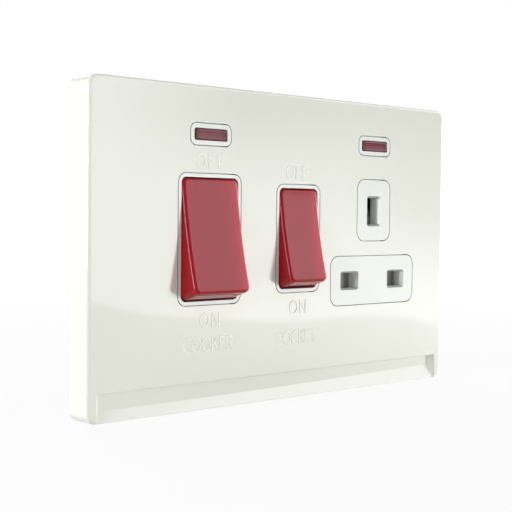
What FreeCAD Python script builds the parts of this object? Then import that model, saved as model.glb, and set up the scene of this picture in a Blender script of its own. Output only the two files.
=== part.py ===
import FreeCAD, Part
import math
import os

os.makedirs("parts", exist_ok=True)
V = FreeCAD.Vector

# Cooker control unit with a switched socket, both switches at OFF.
# X runs right, Y runs back into the wall, Z runs up, all in millimetres.
# The wall surface is Y = 0 and the origin lies midway between the fixing screws.

# Flats around small hidden rounds and around one turn of a coil spring
ROUND_SIDES = 12
COIL_STEPS = 10

# Fits
ISLAND_GAP = 0.3
COVER_FIT = 0.3
SEAT_GAP = 0.2
RUNNING_FIT = 0.05
SLIDING_FIT = 0.2
THREAD_FIT = 0.05
LENS_FIT = 0.1

# Clip-on front cover
COVER_WIDTH = 146.0
COVER_HEIGHT = 92.0
COVER_DEPTH = 8.7
COVER_WALL = 1.6
COVER_CORNER_RADIUS = 3.0
COVER_EDGE_RADIUS = 0.9
WEDGE_HEIGHT = 7.8
WEDGE_DEPTH = 3.6
WEDGE_LIP = 0.3
WEDGE_END_MARGIN = 3.3
WEDGE_EDGE_RADIUS = 0.6
HOOK_WIDTH = 8.0
HOOK_REACH = 0.9
HOOK_LENGTH = 1.8
HOOK_SETBACK = 1.5
TOP_HOOK_SPACING = 80.0
SIDE_HOOK_SPACING = 44.0

# Chassis that carries every module and is screwed to the wall box
DECK_THICKNESS = 2.0
SKIRT_WALL = 1.6
FIXING_SPACING = 120.6
FIXING_HOLE_RADIUS = 2.1
FIXING_HEAD_RADIUS = 3.7
FIXING_LAND = 3.0
FIXING_BOSS_WALL = 1.4

# Rockers and their frames
ROCKER_Z = 2.5
COOKER_X = -31.6
SWITCH_X = 3.5
COOKER_FRAME_WIDTH = 23.0
COOKER_FRAME_HEIGHT = 37.0
SWITCH_FRAME_WIDTH = 18.2
SWITCH_FRAME_HEIGHT = 32.5
FRAME_RIM = 1.0
FRAME_CORNER_RADIUS = 2.6
WELL_WALL = 2.0
WELL_LENGTH = 6.9
PIVOT_DEPTH = 3.1
COOKER_TILT = 11.0
SWITCH_TILT = 11.0
COOKER_PROUD = 3.5
SWITCH_PROUD = 3.0
ROCKER_DISH = 0.7
ROCKER_SIDE_GAP = 0.25
ROCKER_END_GAP = 0.45
ROCKER_END_LEAN = 2.5
ROCKER_WALL = 1.6
ROCKER_SKIRT = 2.0
ROCKER_EDGE_RADIUS = 0.9
ROCKER_CORNER_RADIUS = 1.9
TRUNNION_RADIUS = 1.2
TRUNNION_LENGTH = 1.5

# Plungers and see-saw contacts
POLE_SPACING = 11.0
PLUNGER_RADIUS = 1.8
PLUNGER_REACH = 12.0
PLUNGER_GRIP = 3.5
BARREL_WALL = 0.8
BARREL_REACH = 7.0
PLUNGER_WIRE = 0.5
PLUNGER_TURNS = 4.5
PLUNGER_NOSE_RADIUS = 0.7
ARM_WIDTH = 5.0
ARM_THICKNESS = 1.2
ARM_BACK = 0.2
ARM_HALF_LENGTH = 8.5
ROLL_RADIUS = 1.2
TIP_SIZE = 3.0
TIP_HEIGHT = 0.5
TIP_OFFSET = 6.8
CONTACT_CLEARANCE = 0.08
SADDLE_HALF_HEIGHT = 1.9

# Conductors and terminals
STRIP_THICKNESS = 1.2
STRIP_WIDTH = 5.0
BRANCH_Z = -12.0
JUMPER_CLEARANCE = 3.6
JUMPER_STEP = 2.5
TERMINAL_WIDTH = 9.0
TERMINAL_LENGTH = 11.0
TERMINAL_DEPTH = 10.8
TERMINAL_END_CLEARANCE = 2.1
TERMINAL_WALL = 1.4
TERMINAL_BORE_RADIUS = 3.0
EARTH_X = -12.0
SCREW_RADIUS = 1.75
SCREW_PROUD = 1.2
SCREW_SLOT = 0.8

# Socket outlet
SOCKET_X = 37.7
SOCKET_Z = 0.0
PIN_PITCH = 22.2
EARTH_PIN_LENGTH = 22.7
PIN_END_CLEARANCE = 1.0
EARTH_ISLAND_WIDTH = 15.5
EARTH_ISLAND_HEIGHT = 19.5
EARTH_ISLAND_SHIFT = 0.3
PAIR_ISLAND_WIDTH = 39.4
PAIR_ISLAND_HEIGHT = 15.4
ISLAND_CORNER_RADIUS = 3.0
EARTH_SLOT_WIDTH = 5.2
EARTH_SLOT_HEIGHT = 8.6
PIN_SLOT_WIDTH = 7.2
PIN_SLOT_HEIGHT = 4.8
SLOT_CORNER_RADIUS = 0.3
LEAD_IN = 0.6
LEAD_IN_DEPTH = 1.3
SHUTTER_THICKNESS = 2.0
SHUTTER_STEM_WIDTH = 6.4
SHUTTER_LAP = 0.3
SHUTTER_TRAVEL = 6.0
SHUTTER_TOP_REACH = 1.9
SHUTTER_PEG = 2.5
SHUTTER_SPRING_LENGTH = 11.0
SHUTTER_SPRING_RADIUS = 0.85
SHUTTER_WIRE = 0.35
SHUTTER_TURNS = 6.0
CLIP_GAP = 3.8
CLIP_THICKNESS = 0.8
CLIP_WIDTH = 6.0
CLIP_FLARE = 1.1
CLIP_SPLAY = 0.2
CLIP_MOUTH_SETBACK = 8.0

# Neon indicators
NEON_TOP_MARGIN = 13.9
COOKER_NEON_X = -31.5
SOCKET_NEON_X = 37.8
NEON_FRAME_WIDTH = 14.8
NEON_FRAME_HEIGHT = 6.0
NEON_FRAME_RADIUS = 1.9
NEON_RIM = 1.25
LENS_RECESS = 0.25
LENS_FLANGE = 0.65
LENS_FLANGE_DEPTH = 1.0
LAMP_RADIUS = 2.3
LAMP_LENGTH = 11.0
RESISTOR_RADIUS = 1.1
RESISTOR_LENGTH = 6.0
LEAD_SIZE = 0.6
HOLDER_LENGTH = 8.0
HOLDER_THICKNESS = 0.9

# Rear housing
HOUSING_SIDE_CLEARANCE = 1.7
HOUSING_SKIRT_GAP = 2.7
HOUSING_WALL = 1.4
HOUSING_FLOOR = 2.0
HOUSING_CORNER_RADIUS = 4.0
HOUSING_CHAMFER = 0.8
POST_CLEARANCE = 0.5
POST_SIZE = 6.0
POST_HOLE_RADIUS = 1.7
BOSS_LENGTH = 8.8
HOUSING_SCREW_RADIUS = 1.45
HOUSING_SCREW_HEAD_RADIUS = 2.6
HOUSING_SCREW_HEAD_HEIGHT = 1.6
HOUSING_SCREW_TIP_SETBACK = 1.0
PILOT_OVERRUN = 0.5
BARRIER = 1.0
PEDESTAL = 4.0
CABLE_ENTRY_CLEARANCE = 0.8

# Places that follow from the sizes above
WALL_Y = 0.0
FRONT_Y = WALL_Y - COVER_DEPTH
COVER_BACK_Y = FRONT_Y + COVER_WALL
DECK_FRONT_Y = COVER_BACK_Y + SEAT_GAP
DECK_BACK_Y = DECK_FRONT_Y + DECK_THICKNESS
PIVOT_Y = FRONT_Y + PIVOT_DEPTH
TOP_Z = COVER_HEIGHT / 2
BOTTOM_Z = -COVER_HEIGHT / 2
LEDGE_Z = BOTTOM_Z + WEDGE_HEIGHT
CHASSIS_HALF_WIDTH = COVER_WIDTH / 2 - COVER_WALL - COVER_FIT
CHASSIS_TOP_Z = TOP_Z - COVER_WALL - COVER_FIT
CHASSIS_BOTTOM_Z = LEDGE_Z + COVER_WALL + COVER_FIT
CHASSIS_MID_Z = (CHASSIS_TOP_Z + CHASSIS_BOTTOM_Z) / 2
NEON_Z = TOP_Z - NEON_TOP_MARGIN
LINE_X = COOKER_X + POLE_SPACING / 2
NEUTRAL_X = COOKER_X - POLE_SPACING / 2
MAX_TILT = max(COOKER_TILT, SWITCH_TILT)
ARM_FRONT = ARM_THICKNESS - ARM_BACK
ARM_PIVOT_Y = PIVOT_Y + PLUNGER_REACH + RUNNING_FIT + ARM_FRONT
EARTH_PIN_Z = SOCKET_Z + PIN_PITCH / 2
PAIR_PIN_Z = SOCKET_Z - PIN_PITCH / 2
NEUTRAL_PIN_X = SOCKET_X - PIN_PITCH / 2
LINE_PIN_X = SOCKET_X + PIN_PITCH / 2
HOUSING_HALF_WIDTH = LINE_PIN_X + STRIP_WIDTH / 2 + HOUSING_SIDE_CLEARANCE + HOUSING_WALL
HOUSING_BOTTOM_Z = CHASSIS_BOTTOM_Z + SKIRT_WALL + HOUSING_SKIRT_GAP
HOUSING_HALF_HEIGHT = ROCKER_Z - HOUSING_BOTTOM_Z
TERMINAL_END = HOUSING_HALF_HEIGHT - HOUSING_WALL - TERMINAL_END_CLEARANCE
TERMINAL_OFFSET = TERMINAL_END - TERMINAL_LENGTH
CAVITY_RADIUS = HOUSING_CORNER_RADIUS - HOUSING_WALL
POST_CORNER = CAVITY_RADIUS - (CAVITY_RADIUS - POST_CLEARANCE) * math.sqrt(0.5)
POST_INSET = HOUSING_WALL + POST_CORNER + POST_SIZE / 2
POST_X = HOUSING_HALF_WIDTH - POST_INSET
POST_OFFSET_Z = HOUSING_HALF_HEIGHT - POST_INSET


def contact_plane(tilt):
    """Depth at which a closed moving tip stops, found from the arm's swing."""
    swing = math.radians(tilt)
    tip_back = ARM_BACK + TIP_HEIGHT
    reach = (TIP_OFFSET + TIP_SIZE / 2) * math.sin(swing) + tip_back * math.cos(swing)
    return ARM_PIVOT_Y + reach + CONTACT_CLEARANCE


STRIP_FRONT_Y = contact_plane(MAX_TILT) + TIP_HEIGHT
STRIP_BACK_Y = STRIP_FRONT_Y + STRIP_THICKNESS
JUMPER_BACK_Y = STRIP_FRONT_Y - JUMPER_CLEARANCE
FLOOR_Y = STRIP_BACK_Y + TERMINAL_DEPTH
HOUSING_BACK_Y = FLOOR_Y + HOUSING_FLOOR
BORE_Y = STRIP_BACK_Y + TERMINAL_WALL + TERMINAL_BORE_RADIUS
EARTH_BASE_Y = FRONT_Y + EARTH_PIN_LENGTH + PIN_END_CLEARANCE
SUPPLY_TOP_Z = ROCKER_Z - TERMINAL_OFFSET
SUPPLY_BOTTOM_Z = SUPPLY_TOP_Z - TERMINAL_LENGTH
LOAD_BOTTOM_Z = ROCKER_Z + TERMINAL_OFFSET
LOAD_TOP_Z = LOAD_BOTTOM_Z + TERMINAL_LENGTH
SHUTTER_FRONT_Y = DECK_BACK_Y + SLIDING_FIT
SHUTTER_BACK_Y = SHUTTER_FRONT_Y + SHUTTER_THICKNESS
SHUTTER_HALF_WIDTH = PIN_PITCH / 2 + PIN_SLOT_WIDTH / 2 + SHUTTER_LAP
BAR_TOP_Z = PAIR_PIN_Z + PIN_SLOT_HEIGHT / 2 + SHUTTER_LAP
BAR_BOTTOM_Z = BAR_TOP_Z - SHUTTER_TRAVEL - SHUTTER_LAP
LAMP_Y = DECK_BACK_Y + LAMP_RADIUS + SLIDING_FIT
RESISTOR_Y = DECK_BACK_Y + RESISTOR_RADIUS + SLIDING_FIT
LAMP_SPACE = LAMP_RADIUS + RUNNING_FIT
RESISTOR_SPACE = RESISTOR_RADIUS + RUNNING_FIT
RESISTOR_Z = NEON_Z - LAMP_SPACE - HOLDER_THICKNESS - RESISTOR_SPACE


def outline(x, z, width, height, radius, y):
    """Closed rounded rectangle in a plane of constant Y."""
    hw = width / 2
    hh = height / 2
    k = radius * (1 - math.sqrt(0.5))
    edges = []
    for sx, sz, first in ((1, 1, True), (1, -1, False), (-1, -1, True), (-1, 1, False)):
        side = V(x + sx * hw, y, z + sz * (hh - radius))
        end = V(x + sx * (hw - radius), y, z + sz * hh)
        middle = V(x + sx * (hw - k), y, z + sz * (hh - k))
        start, stop = (end, side) if first else (side, end)
        edges.append(Part.Arc(start, middle, stop).toShape())
    loop = []
    for index, arc in enumerate(edges):
        following = edges[(index + 1) % 4]
        loop.append(arc)
        loop.append(Part.makeLine(arc.Vertexes[-1].Point, following.Vertexes[0].Point))
    return Part.Wire(loop)


def pad(x, z, width, height, radius, y_front, y_back):
    """Rounded rectangle run straight back from y_front to y_back."""
    face = Part.Face(outline(x, z, width, height, radius, y_front))
    return face.extrude(V(0, y_back - y_front, 0))


def rim_edges(shape, y):
    """Edges of a shape that lie in one plane of constant Y."""
    return [e for e in shape.Edges if all(abs(v.Y - y) < 1e-6 for v in e.Vertexes)]


def prism_x(points, x_from, x_to):
    """Flat outline of (y, z) points run along X."""
    corners = [V(x_from, y, z) for y, z in points]
    face = Part.Face(Part.makePolygon(corners + corners[:1]))
    return face.extrude(V(x_to - x_from, 0, 0))


def prism_y(points, y_from, y_to):
    """Flat outline of (x, z) points run along Y."""
    corners = [V(x, y_from, z) for x, z in points]
    face = Part.Face(Part.makePolygon(corners + corners[:1]))
    return face.extrude(V(0, y_to - y_from, 0))


def prism_z(points, z_from, z_to):
    """Flat outline of (x, y) points run along Z."""
    corners = [V(x, y, z_from) for x, y in points]
    face = Part.Face(Part.makePolygon(corners + corners[:1]))
    return face.extrude(V(0, 0, z_to - z_from))


def rod_x(y, z, radius, x_from, x_to):
    return Part.makeCylinder(radius, x_to - x_from, V(x_from, y, z), V(1, 0, 0))


def rod_y(x, z, radius, y_from, y_to):
    return Part.makeCylinder(radius, y_to - y_from, V(x, y_from, z), V(0, 1, 0))


def rod_z(x, y, radius, z_from, z_to):
    return Part.makeCylinder(radius, z_to - z_from, V(x, y, z_from), V(0, 0, 1))


def rectangle(x, z, width, height):
    hw = width / 2
    hh = height / 2
    return [(x - hw, z - hh), (x + hw, z - hh), (x + hw, z + hh), (x - hw, z + hh)]


def ribbon(points, thickness):
    """Outline of a bent strip of even thickness around a centre line, with mitred bends."""
    half = thickness / 2
    left = []
    right = []
    for i, (a, b) in enumerate(points):
        before = points[max(i - 1, 0)]
        after = points[min(i + 1, len(points) - 1)]
        incoming = math.atan2(b - before[1], a - before[0]) if i else None
        outgoing = math.atan2(after[1] - b, after[0] - a) if i < len(points) - 1 else incoming
        incoming = outgoing if incoming is None else incoming
        turn = math.atan2(math.sin(outgoing - incoming), math.cos(outgoing - incoming))
        across = incoming + turn / 2 + math.pi / 2
        reach = half / math.cos(turn / 2)
        left.append((a + reach * math.cos(across), b + reach * math.sin(across)))
        right.append((a - reach * math.cos(across), b - reach * math.sin(across)))
    return left + right[::-1]


def flat_face(*corners):
    return Part.Face(Part.makePolygon(list(corners) + [corners[0]]))


def faceted(faces):
    """Solid closed by flat faces that share their edges."""
    shell = Part.makeShell(faces)
    shell.sewShape()
    return Part.makeSolid(shell)


def many_sided(x, z, radius, y):
    """Corners of a regular many-sided outline in a plane of constant Y."""
    angles = [2 * math.pi * (i + 0.5) / ROUND_SIDES for i in range(ROUND_SIDES)]
    return [V(x + radius * math.cos(a), y, z + radius * math.sin(a)) for a in angles]


def facet_rod(x, z, radius, y_from, y_to):
    """Small hidden round run along Y as a many-sided prism."""
    return flat_face(*many_sided(x, z, radius, y_from)).extrude(V(0, y_to - y_from, 0))


def facet_taper(x, z, radius, tip_radius, y_from, y_to):
    """Many-sided taper along Y from one radius to another."""
    wide = many_sided(x, z, radius, y_from)
    narrow = many_sided(x, z, tip_radius, y_to)
    faces = [flat_face(*wide), flat_face(*narrow)]
    for i in range(ROUND_SIDES):
        faces.append(flat_face(wide[i - 1], wide[i], narrow[i], narrow[i - 1]))
    return faceted(faces)


def facet_hole(x, z, radius, y_from, y_to):
    """Many-sided hole that clears a round of the given radius."""
    return facet_rod(x, z, radius / math.cos(math.pi / ROUND_SIDES), y_from, y_to)


def coil(radius, wire, turns, length):
    """Coil spring of square wire standing on Z = 0 and ending at Z = length."""
    rise = length - wire
    steps = int(math.ceil(COIL_STEPS * turns))
    rings = []
    for i in range(steps + 1):
        angle = 2 * math.pi * turns * i / steps
        out = V(math.cos(angle), math.sin(angle), 0)
        foot = V(0, 0, rise * i / steps)
        head = foot + V(0, 0, wire)
        inner = out * (radius - wire / 2)
        outer = out * (radius + wire / 2)
        rings.append((inner + foot, outer + foot, outer + head, inner + head))
    faces = [flat_face(*rings[0]), flat_face(*rings[-1])]
    for (a, b, c, d), (e, f, g, h) in zip(rings, rings[1:]):
        faces += [flat_face(b, f, g, c), flat_face(a, e, h, d)]
        faces += [flat_face(a, b, f), flat_face(a, f, e), flat_face(d, c, g), flat_face(d, g, h)]
    return faceted(faces)


def merged(first, *others):
    shape = first.fuse(list(others)) if others else first
    return shape.removeSplitter()


def save(name, shape):
    shape.exportStep("parts/" + name + ".step")


# Front cover
cover = pad(0, 0, COVER_WIDTH, COVER_HEIGHT, COVER_CORNER_RADIUS, FRONT_Y, WALL_Y)
cover = cover.makeFillet(COVER_EDGE_RADIUS, rim_edges(cover, FRONT_Y))
inner_width = COVER_WIDTH - 2 * COVER_WALL
inner_height = COVER_HEIGHT - 2 * COVER_WALL
cover = cover.cut(prism_y(rectangle(0, 0, inner_width, inner_height), COVER_BACK_Y, WALL_Y + 1))
backing = prism_x(
    [
        (FRONT_Y + COVER_WALL / 2, LEDGE_Z + COVER_WALL),
        (FRONT_Y + WEDGE_DEPTH + COVER_WALL, LEDGE_Z + COVER_WALL),
        (FRONT_Y + WEDGE_LIP + COVER_WALL, BOTTOM_Z + COVER_WALL / 2),
        (FRONT_Y + COVER_WALL / 2, BOTTOM_Z + COVER_WALL / 2),
    ],
    -COVER_WIDTH / 2 + COVER_WALL / 2,
    COVER_WIDTH / 2 - COVER_WALL / 2,
)
cover = cover.fuse(backing)
wedge_half = COVER_WIDTH / 2 - WEDGE_END_MARGIN
slope = (WEDGE_DEPTH - WEDGE_LIP) / WEDGE_HEIGHT
wedge = prism_x(
    [
        (FRONT_Y - 1, LEDGE_Z),
        (FRONT_Y + WEDGE_DEPTH, LEDGE_Z),
        (FRONT_Y + WEDGE_LIP - slope, BOTTOM_Z - 1),
        (FRONT_Y - 1, BOTTOM_Z - 1),
    ],
    -wedge_half,
    wedge_half,
)
cover = cover.cut(wedge).removeSplitter()

# Rounded lips along the top and both ends of the recess
lip = WEDGE_EDGE_RADIUS
lip_y = FRONT_Y + lip
end_x = wedge_half + lip
top_lip = prism_x(
    [(FRONT_Y - 1, LEDGE_Z), (lip_y, LEDGE_Z), (lip_y, LEDGE_Z + lip), (FRONT_Y - 1, LEDGE_Z + lip)],
    -end_x,
    end_x,
).cut(rod_x(lip_y, LEDGE_Z + lip, lip, -end_x, end_x))
end_lips = []
for side in (-1, 1):
    square = [(side * wedge_half, FRONT_Y - 1), (side * wedge_half, lip_y)]
    square += [(side * end_x, lip_y), (side * end_x, FRONT_Y - 1)]
    upright = prism_z(square, BOTTOM_Z - 1, LEDGE_Z + lip)
    end_lips.append(upright.cut(rod_z(side * end_x, lip_y, lip, BOTTOM_Z - 1, LEDGE_Z + lip)))
corner_lips = [top_lip.common(end_lip) for end_lip in end_lips]
middle = prism_y(rectangle(0, LEDGE_Z, 2 * wedge_half, 2 * lip), FRONT_Y - 1, lip_y)
below = prism_y(rectangle(0, (BOTTOM_Z + LEDGE_Z) / 2, 2 * end_x, WEDGE_HEIGHT), FRONT_Y - 1, lip_y)
cover = cover.cut(top_lip.common(middle))
for end_lip, corner_lip in zip(end_lips, corner_lips):
    cover = cover.cut(end_lip.common(below)).cut(corner_lip)

hook_front_y = WALL_Y - HOOK_SETBACK - HOOK_LENGTH
hook_tip_y = WALL_Y - HOOK_SETBACK - HOOK_LENGTH / 2
hook_back_y = WALL_Y - HOOK_SETBACK
hooks = []
windows = []
side_hook_z = (CHASSIS_MID_Z + SIDE_HOOK_SPACING / 2, CHASSIS_MID_Z - SIDE_HOOK_SPACING / 2)
for side in (-1, 1):
    wall_z = TOP_Z - COVER_WALL
    tooth = [
        (hook_front_y, wall_z + COVER_WALL / 2),
        (hook_front_y, wall_z - HOOK_REACH),
        (hook_tip_y, wall_z - HOOK_REACH),
        (hook_back_y, wall_z + COVER_WALL / 2),
    ]
    left_x = side * TOP_HOOK_SPACING / 2 - HOOK_WIDTH / 2
    hooks.append(prism_x(tooth, left_x, left_x + HOOK_WIDTH))
    slot = rectangle(
        side * TOP_HOOK_SPACING / 2,
        CHASSIS_TOP_Z,
        HOOK_WIDTH + 2 * COVER_FIT,
        4 * SKIRT_WALL,
    )
    windows.append(prism_y(slot, hook_front_y - COVER_FIT, hook_back_y + COVER_FIT))
    wall_x = COVER_WIDTH / 2 - COVER_WALL
    tooth = [
        (side * (wall_x + COVER_WALL / 2), hook_front_y),
        (side * (wall_x - HOOK_REACH), hook_front_y),
        (side * (wall_x - HOOK_REACH), hook_tip_y),
        (side * (wall_x + COVER_WALL / 2), hook_back_y),
    ]
    for z in side_hook_z:
        hooks.append(prism_z(tooth, z - HOOK_WIDTH / 2, z + HOOK_WIDTH / 2))
        slot = rectangle(side * CHASSIS_HALF_WIDTH, z, 4 * SKIRT_WALL, HOOK_WIDTH + 2 * COVER_FIT)
        windows.append(prism_y(slot, hook_front_y - COVER_FIT, hook_back_y + COVER_FIT))
cover = cover.fuse(hooks)

# Islands that the chassis shows through the cover: x, z, width, height, corner radius
islands = {
    "cooker_rocker": (COOKER_X, ROCKER_Z, COOKER_FRAME_WIDTH, COOKER_FRAME_HEIGHT, FRAME_CORNER_RADIUS),
    "socket_rocker": (SWITCH_X, ROCKER_Z, SWITCH_FRAME_WIDTH, SWITCH_FRAME_HEIGHT, FRAME_CORNER_RADIUS),
    "cooker_neon": (COOKER_NEON_X, NEON_Z, NEON_FRAME_WIDTH, NEON_FRAME_HEIGHT, NEON_FRAME_RADIUS),
    "socket_neon": (SOCKET_NEON_X, NEON_Z, NEON_FRAME_WIDTH, NEON_FRAME_HEIGHT, NEON_FRAME_RADIUS),
    "earth_pin": (
        SOCKET_X,
        EARTH_PIN_Z + EARTH_ISLAND_SHIFT,
        EARTH_ISLAND_WIDTH,
        EARTH_ISLAND_HEIGHT,
        ISLAND_CORNER_RADIUS,
    ),
    "pin_pair": (SOCKET_X, PAIR_PIN_Z, PAIR_ISLAND_WIDTH, PAIR_ISLAND_HEIGHT, ISLAND_CORNER_RADIUS),
}
for x, z, width, height, radius in islands.values():
    grown = 2 * ISLAND_GAP
    hole = pad(x, z, width + grown, height + grown, radius + ISLAND_GAP, FRONT_Y - 1, COVER_BACK_Y + 1)
    cover = cover.cut(hole)
save("front_cover", cover.removeSplitter())

# Chassis: tray, islands, wells, bosses, guides and holders
deck_width = 2 * CHASSIS_HALF_WIDTH
deck_height = CHASSIS_TOP_Z - CHASSIS_BOTTOM_Z
chassis = prism_y(rectangle(0, CHASSIS_MID_Z, deck_width, deck_height), DECK_FRONT_Y, WALL_Y)
hollow_width = deck_width - 2 * SKIRT_WALL
hollow_height = deck_height - 2 * SKIRT_WALL
hollow = rectangle(0, CHASSIS_MID_Z, hollow_width, hollow_height)
chassis = chassis.cut(prism_y(hollow, DECK_BACK_Y, WALL_Y + 1))
raised = []
for x, z, width, height, radius in islands.values():
    raised.append(pad(x, z, width, height, radius, FRONT_Y, DECK_BACK_Y))
for x in (-FIXING_SPACING / 2, FIXING_SPACING / 2):
    raised.append(rod_y(x, 0, FIXING_HEAD_RADIUS + FIXING_BOSS_WALL, DECK_FRONT_Y, WALL_Y))
well_back_y = DECK_BACK_Y + WELL_LENGTH
openings = {}
for name in ("cooker_rocker", "socket_rocker"):
    x, z, width, height, radius = islands[name]
    opening_width = width - 2 * FRAME_RIM
    opening_height = height - 2 * FRAME_RIM
    openings[name] = (x, opening_width, opening_height)
    outer_width = opening_width + 2 * WELL_WALL
    outer_height = opening_height + 2 * WELL_WALL
    raised.append(prism_y(rectangle(x, z, outer_width, outer_height), DECK_BACK_Y, well_back_y))

stem_half = SHUTTER_STEM_WIDTH / 2 + SLIDING_FIT
rail_low_z = BAR_TOP_Z + SLIDING_FIT
rail_high_z = EARTH_PIN_Z - EARTH_SLOT_HEIGHT / 2
for side in (-1, 1):
    rail_x = SOCKET_X + side * (stem_half + SKIRT_WALL / 2)
    rail = rectangle(rail_x, (rail_low_z + rail_high_z) / 2, SKIRT_WALL, rail_high_z - rail_low_z)
    raised.append(prism_y(rail, DECK_BACK_Y, SHUTTER_BACK_Y))
spring_foot_z = BAR_BOTTOM_Z - SHUTTER_SPRING_LENGTH
foot = rectangle(SOCKET_X, spring_foot_z - SKIRT_WALL / 2, SHUTTER_STEM_WIDTH, SKIRT_WALL)
raised.append(prism_y(foot, DECK_BACK_Y, SHUTTER_BACK_Y))

holder_back_y = LAMP_Y + LAMP_RADIUS / 2
half_rib = HOLDER_THICKNESS / 2
rib_heights = (
    NEON_Z + LAMP_SPACE + half_rib,
    RESISTOR_Z + RESISTOR_SPACE + half_rib,
    RESISTOR_Z - RESISTOR_SPACE - half_rib,
)
for x in (COOKER_NEON_X, SOCKET_NEON_X):
    for z in rib_heights:
        rib = rectangle(x, z, HOLDER_LENGTH, HOLDER_THICKNESS)
        raised.append(prism_y(rib, DECK_BACK_Y, holder_back_y))

post_places = [
    (-POST_X, ROCKER_Z + POST_OFFSET_Z),
    (POST_X, ROCKER_Z - POST_OFFSET_Z),
]
boss_back_y = DECK_BACK_Y + BOSS_LENGTH
for x, z in post_places:
    raised.append(prism_y(rectangle(x, z, POST_SIZE, POST_SIZE), DECK_BACK_Y, boss_back_y))
chassis = merged(chassis, *raised)

removed = list(windows)
for x in (-FIXING_SPACING / 2, FIXING_SPACING / 2):
    removed.append(rod_y(x, 0, FIXING_HOLE_RADIUS, DECK_FRONT_Y - 1, WALL_Y + 1))
    removed.append(rod_y(x, 0, FIXING_HEAD_RADIUS, DECK_FRONT_Y - 1, WALL_Y - FIXING_LAND))
for name, (x, opening_width, opening_height) in openings.items():
    inside = FRAME_CORNER_RADIUS - FRAME_RIM
    removed.append(pad(x, ROCKER_Z, opening_width, opening_height, inside, FRONT_Y - 1, well_back_y + 1))
    bearing = opening_width / 2 + TRUNNION_LENGTH + SLIDING_FIT
    removed.append(rod_x(PIVOT_Y, ROCKER_Z, TRUNNION_RADIUS + RUNNING_FIT, x - bearing, x + bearing))
lens_width = NEON_FRAME_WIDTH - 2 * NEON_RIM
lens_height = NEON_FRAME_HEIGHT - 2 * NEON_RIM
lens_radius = NEON_FRAME_RADIUS - NEON_RIM
seat_y = DECK_BACK_Y - LENS_FLANGE_DEPTH
for x in (COOKER_NEON_X, SOCKET_NEON_X):
    removed.append(pad(x, NEON_Z, lens_width, lens_height, lens_radius, FRONT_Y - 1, DECK_BACK_Y))
    seat_width = lens_width + 2 * LENS_FLANGE
    seat_height = lens_height + 2 * LENS_FLANGE
    removed.append(prism_y(rectangle(x, NEON_Z, seat_width, seat_height), seat_y, DECK_BACK_Y))
slots = (
    (SOCKET_X, EARTH_PIN_Z, EARTH_SLOT_WIDTH, EARTH_SLOT_HEIGHT),
    (NEUTRAL_PIN_X, PAIR_PIN_Z, PIN_SLOT_WIDTH, PIN_SLOT_HEIGHT),
    (LINE_PIN_X, PAIR_PIN_Z, PIN_SLOT_WIDTH, PIN_SLOT_HEIGHT),
)
for x, z, width, height in slots:
    removed.append(pad(x, z, width, height, SLOT_CORNER_RADIUS, FRONT_Y - 1, DECK_BACK_Y + 1))
    throat = outline(x, z, width, height, SLOT_CORNER_RADIUS, FRONT_Y + LEAD_IN_DEPTH)
    mouth_radius = SLOT_CORNER_RADIUS + LEAD_IN
    mouth = outline(x, z, width + 2 * LEAD_IN, height + 2 * LEAD_IN, mouth_radius, FRONT_Y)
    removed.append(Part.makeLoft([mouth, throat], True, True))
pilot = HOUSING_SCREW_RADIUS + THREAD_FIT
screw_tip_y = DECK_BACK_Y + HOUSING_SCREW_TIP_SETBACK
for x, z in post_places:
    removed.append(facet_hole(x, z, pilot, screw_tip_y - PILOT_OVERRUN, boss_back_y + 1))
for tool in removed:
    chassis = chassis.cut(tool)
save("chassis", chassis.removeSplitter())


def rocker_half(opening_width, opening_height, tilt, depth, inset, corner, dish=0):
    """Half of a rocker from its pivot plane to a depth, each end sloped to stand almost upright when pressed."""
    swing = math.radians(tilt)
    reach = abs(depth) - inset if depth < 0 else depth
    waist = (opening_height / 2 - ROCKER_END_GAP - inset) / math.cos(swing)
    end = waist - reach * math.tan(swing - math.radians(ROCKER_END_LEAN))
    y = math.copysign(reach, depth)
    half = opening_width / 2 - ROCKER_SIDE_GAP - inset
    low = V(-half, y, -end)
    high = V(-half, y, end)
    sides = Part.makePolygon([high, V(-half, 0, waist), V(-half, 0, -waist), low])
    front = Part.Arc(low, V(-half, y + dish, 0), high).toShape() if dish else Part.makeLine(low, high)
    block = Part.Face(Part.Wire(sides.Edges + [front])).extrude(V(2 * half, 0, 0))
    if corner:
        uprights = [e for e in block.Edges if abs(e.Vertexes[0].Y - e.Vertexes[1].Y) > 1e-6]
        block = block.makeFillet(corner, uprights)
    return block


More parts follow.
